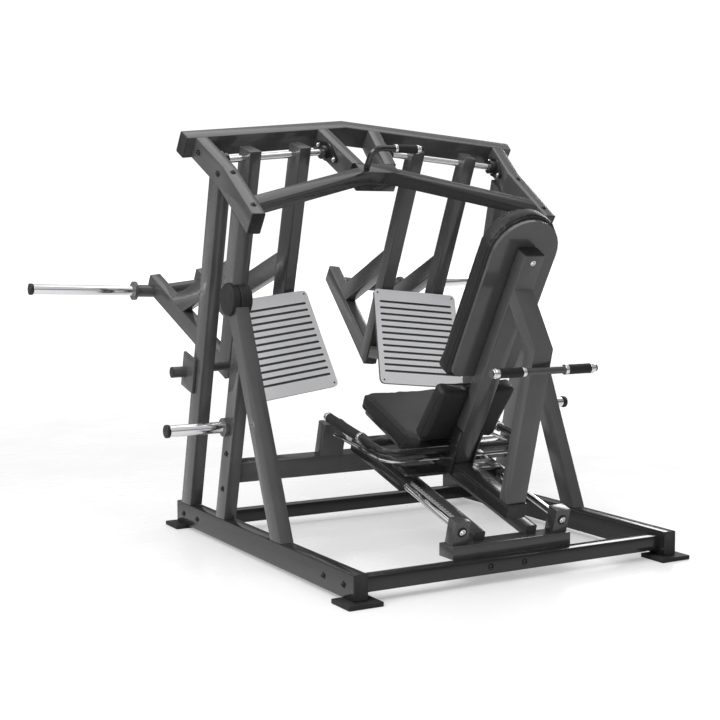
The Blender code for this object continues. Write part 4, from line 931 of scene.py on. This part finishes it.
def build_plate_screws():
    """A screw in each corner of the footplates, whose width runs along the arm's shaft."""
    for side, _ in SIDES:
        node = f"footplate_{side}"
        spot, normal = broad_face(node, Vector((0, -1, 0.4)))
        start, end, _ = long_axis(f"arm_shaft_{side}")
        width = end - start if end.x > start.x else start - end
        turn = facing(normal, width.normalized())
        across, up = turn @ X, turn @ Y
        for column, shift in (("left", -PLATE_SCREWS[0]), ("right", PLATE_SCREWS[0])):
            for row, rise in (("low", -PLATE_SCREWS[1]), ("high", PLATE_SCREWS[1])):
                place = spot + across * shift + up * rise
                button_bolt(f"plate_screw_{row}_{column}_{side}", place, normal, SCREW_RADIUS, BLACK_BOLT,
                            BODY_OF[node], washer=False)


def rod_point(x, distance, lift=0.0):
    """A point on the line of the guide rods, distance along them from the near end."""
    return ROD_NEAR + X * x + ROD_ALONG * distance + ROD_ABOVE * lift


def back_point(x, up, behind):
    """A point told from the foot of the back pad's face: up along the pad, behind that face."""
    return BACK_FOOT + X * x + BACK_UP * up - BACK_FACING * behind


def rear_spot(up):
    """Where the seat's steel is first met from behind at the height up, if it looks squarely back there."""
    nearest = None
    origin = back_point(0, up, 0.5)
    for node in ("back_support", "seat_carriage"):
        hit, place, normal, _ = NODES[node].ray_cast(origin, BACK_FACING)
        if hit and normal.dot(-BACK_FACING) > 0.97:
            if nearest is None or (place - origin).length < (nearest - origin).length:
                nearest = place
    return nearest


def build_seat_bolts():
    """Bolts in the guide blocks, and up the rear of the back tube."""
    for side, _ in SIDES:
        start, _, _ = long_axis(f"guide_rod_{side}")
        face = start - ROD_ALONG * ROD_RECESS
        washer = rounded_profile(-0.001, 0.004, GUIDE_WASHER, 0.0012)
        turned(f"guide_washer_{side}", washer, face, -ROD_ALONG, RUBBER, "frame", steps=32)
        button_bolt(f"guide_bolt_{side}", face - ROD_ALONG * 0.004, -ROD_ALONG, BOLT_RADIUS, CHROME, "frame")
    rear = [spot for spot in map(rear_spot, TUBE_BOLTS) if spot is not None]
    bolt_row("back_tube_bolt", rear, -BACK_FACING, SMALL_BOLT, CHROME, "seat")


def build_end_caps():
    for side, sign in SIDES:
        low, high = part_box(f"base_rail_{side}")
        centre = (low + high) / 2
        for word, y, way in (("front", low.y, -Y), ("rear", high.y, Y)):
            end_cap(f"rail_cap_{word}_{side}", Vector((centre.x, y, centre.z)), way, X, TUBE_WIDTH, TUBE_DEPTH, PLASTIC,
                    "frame")
        end_cap(f"side_beam_cap_{side}", top_point(sign * RAIL_X, SIDE_BEAM_FRONT, TUBE_DEPTH / 2), -UPHILL, X,
                TUBE_WIDTH, TUBE_DEPTH, PLASTIC, "frame")
        along = X * sign * math.cos(CHEVRON) - UPHILL * math.sin(CHEVRON)
        inward = -X * sign * math.sin(CHEVRON) - UPHILL * math.cos(CHEVRON)
        tip = top_point(0, 0, TUBE_DEPTH / 2) + inward * TUBE_WIDTH / 2 + along * BACK_BEAM_HALF
        end_cap(f"back_beam_cap_{side}", tip, along, inward, TUBE_WIDTH, TUBE_DEPTH, PLASTIC, "frame")
        low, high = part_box(f"arm_stop_{side}")
        tip = Vector((high.x if sign > 0 else low.x, *STOP_CENTRE))
        cap = rounded_profile(-0.001, 0.004, STOP_RADIUS, 0.002)
        turned(f"stop_cap_{side}", cap, tip, X * sign, PLASTIC, "frame")
    width, depth = SPINE_SIZE
    top = back_point(0, BACK_TUBE_TOP, TUBE_BEHIND)
    end_cap("back_tube_cap", top, BACK_UP, X, width, depth, PLASTIC, "seat")
    end_cap("spine_cap", rod_point(0, 0, SPINE_LIFT), -ROD_ALONG, X, width, depth, PLASTIC, "seat")


# ---------------------------------------------------------------- studio
def build_studio():
    floor_mesh = bmesh.new()
    bmesh.ops.create_grid(floor_mesh, x_segments=1, y_segments=1, size=FLOOR_HALF)
    data = bpy.data.meshes.new("studio_floor")
    floor_mesh.to_mesh(data)
    floor_mesh.free()
    floor = bpy.data.objects.new("studio_floor", data)
    bpy.context.scene.collection.objects.link(floor)
    shader = Shader("pale_floor")
    seen = shader.add("ShaderNodeLightPath").outputs["Is Camera Ray"]
    shader.set(
        Base_Color=(0.80, 0.80, 0.80, 1),
        Roughness=shader.span(shader.noise(2.0), 0.3, 0.7, 0.24, 0.30),
        Specular_IOR_Level=0.35,
        Emission_Color=(1, 1, 1, 1),
        Emission_Strength=shader.maths("MULTIPLY", seen, shader.span(shader.reach(), *FLOOR_GLOW)),
    )
    data.materials.append(shader.material)

    bpy.context.scene.view_settings.view_transform = "Standard"
    world = bpy.data.worlds.new("studio")
    bpy.context.scene.world = world
    world.use_nodes = True
    build_backdrop(world.node_tree)
    for name, place, size, power in LIGHTS:
        add_light(name, Vector(place), size, power)


def build_backdrop(tree):
    """White as seen by the camera; as a light it is bright at the left and overhead and dimmer elsewhere."""
    background = tree.nodes["Background"]
    path = tree.nodes.new("ShaderNodeLightPath")
    place = tree.nodes.new("ShaderNodeTexCoord")
    split = tree.nodes.new("ShaderNodeSeparateXYZ")
    tree.links.new(place.outputs["Generated"], split.inputs[0])
    sideways = tree.nodes.new("ShaderNodeMapRange")
    tree.links.new(split.outputs["X"], sideways.inputs["Value"])
    upwards = tree.nodes.new("ShaderNodeMapRange")
    tree.links.new(split.outputs["Z"], upwards.inputs["Value"])
    for node, values in ((sideways, SKY_SIDE), (upwards, SKY_TOP)):
        for socket, number in zip(RANGE_SOCKETS, values):
            node.inputs[socket].default_value = number
    both = tree.nodes.new("ShaderNodeMath")
    both.operation = "ADD"
    tree.links.new(sideways.outputs[0], both.inputs[0])
    tree.links.new(upwards.outputs[0], both.inputs[1])
    above = tree.nodes.new("ShaderNodeMath")
    above.operation = "SUBTRACT"
    tree.links.new(split.outputs["Z"], above.inputs[0])
    above.inputs[1].default_value = SKY_BAND_HEIGHT
    away = tree.nodes.new("ShaderNodeMath")
    away.operation = "ABSOLUTE"
    tree.links.new(above.outputs[0], away.inputs[0])
    band = tree.nodes.new("ShaderNodeMapRange")
    tree.links.new(away.outputs[0], band.inputs["Value"])
    for socket, number in zip(RANGE_SOCKETS, SKY_BAND):
        band.inputs[socket].default_value = number
    banded = tree.nodes.new("ShaderNodeMath")
    banded.operation = "MULTIPLY"
    tree.links.new(both.outputs[0], banded.inputs[0])
    tree.links.new(band.outputs[0], banded.inputs[1])
    choose = tree.nodes.new("ShaderNodeMix")
    tree.links.new(path.outputs["Is Camera Ray"], choose.inputs[0])
    tree.links.new(banded.outputs[0], choose.inputs[2])
    choose.inputs[3].default_value = SKY_SEEN
    tree.links.new(choose.outputs[0], background.inputs["Strength"])
    background.inputs["Color"].default_value = (1, 1, 1, 1)


def add_light(name, place, size, power):
    data = bpy.data.lights.new(name, "AREA")
    data.shape = "SQUARE"
    data.size = size
    data.energy = power
    light = bpy.data.objects.new(name, data)
    light.location = place
    aim = Vector((0, 0, 0.8)) - place
    light.rotation_euler = aim.to_track_quat("-Z", "Y").to_euler()
    bpy.context.scene.collection.objects.link(light)


def build_camera():
    data = bpy.data.cameras.new("camera")
    data.lens = CAMERA_LENS
    data.sensor_width = CAMERA_SENSOR
    camera = bpy.data.objects.new("camera", data)
    camera.location = CAMERA_PLACE
    turns = (90 - CAMERA_ELEVATION, CAMERA_ROLL, CAMERA_AZIMUTH)
    camera.rotation_euler = [math.radians(turn) for turn in turns]
    bpy.context.scene.collection.objects.link(camera)
    bpy.context.scene.camera = camera


finish_nodes()
build_pads()
build_sleeves()
build_grips()
build_hubs()
build_frame_bolts()
build_bearing_bolts()
build_plate_screws()
build_seat_bolts()
build_end_caps()
build_studio()
build_camera()
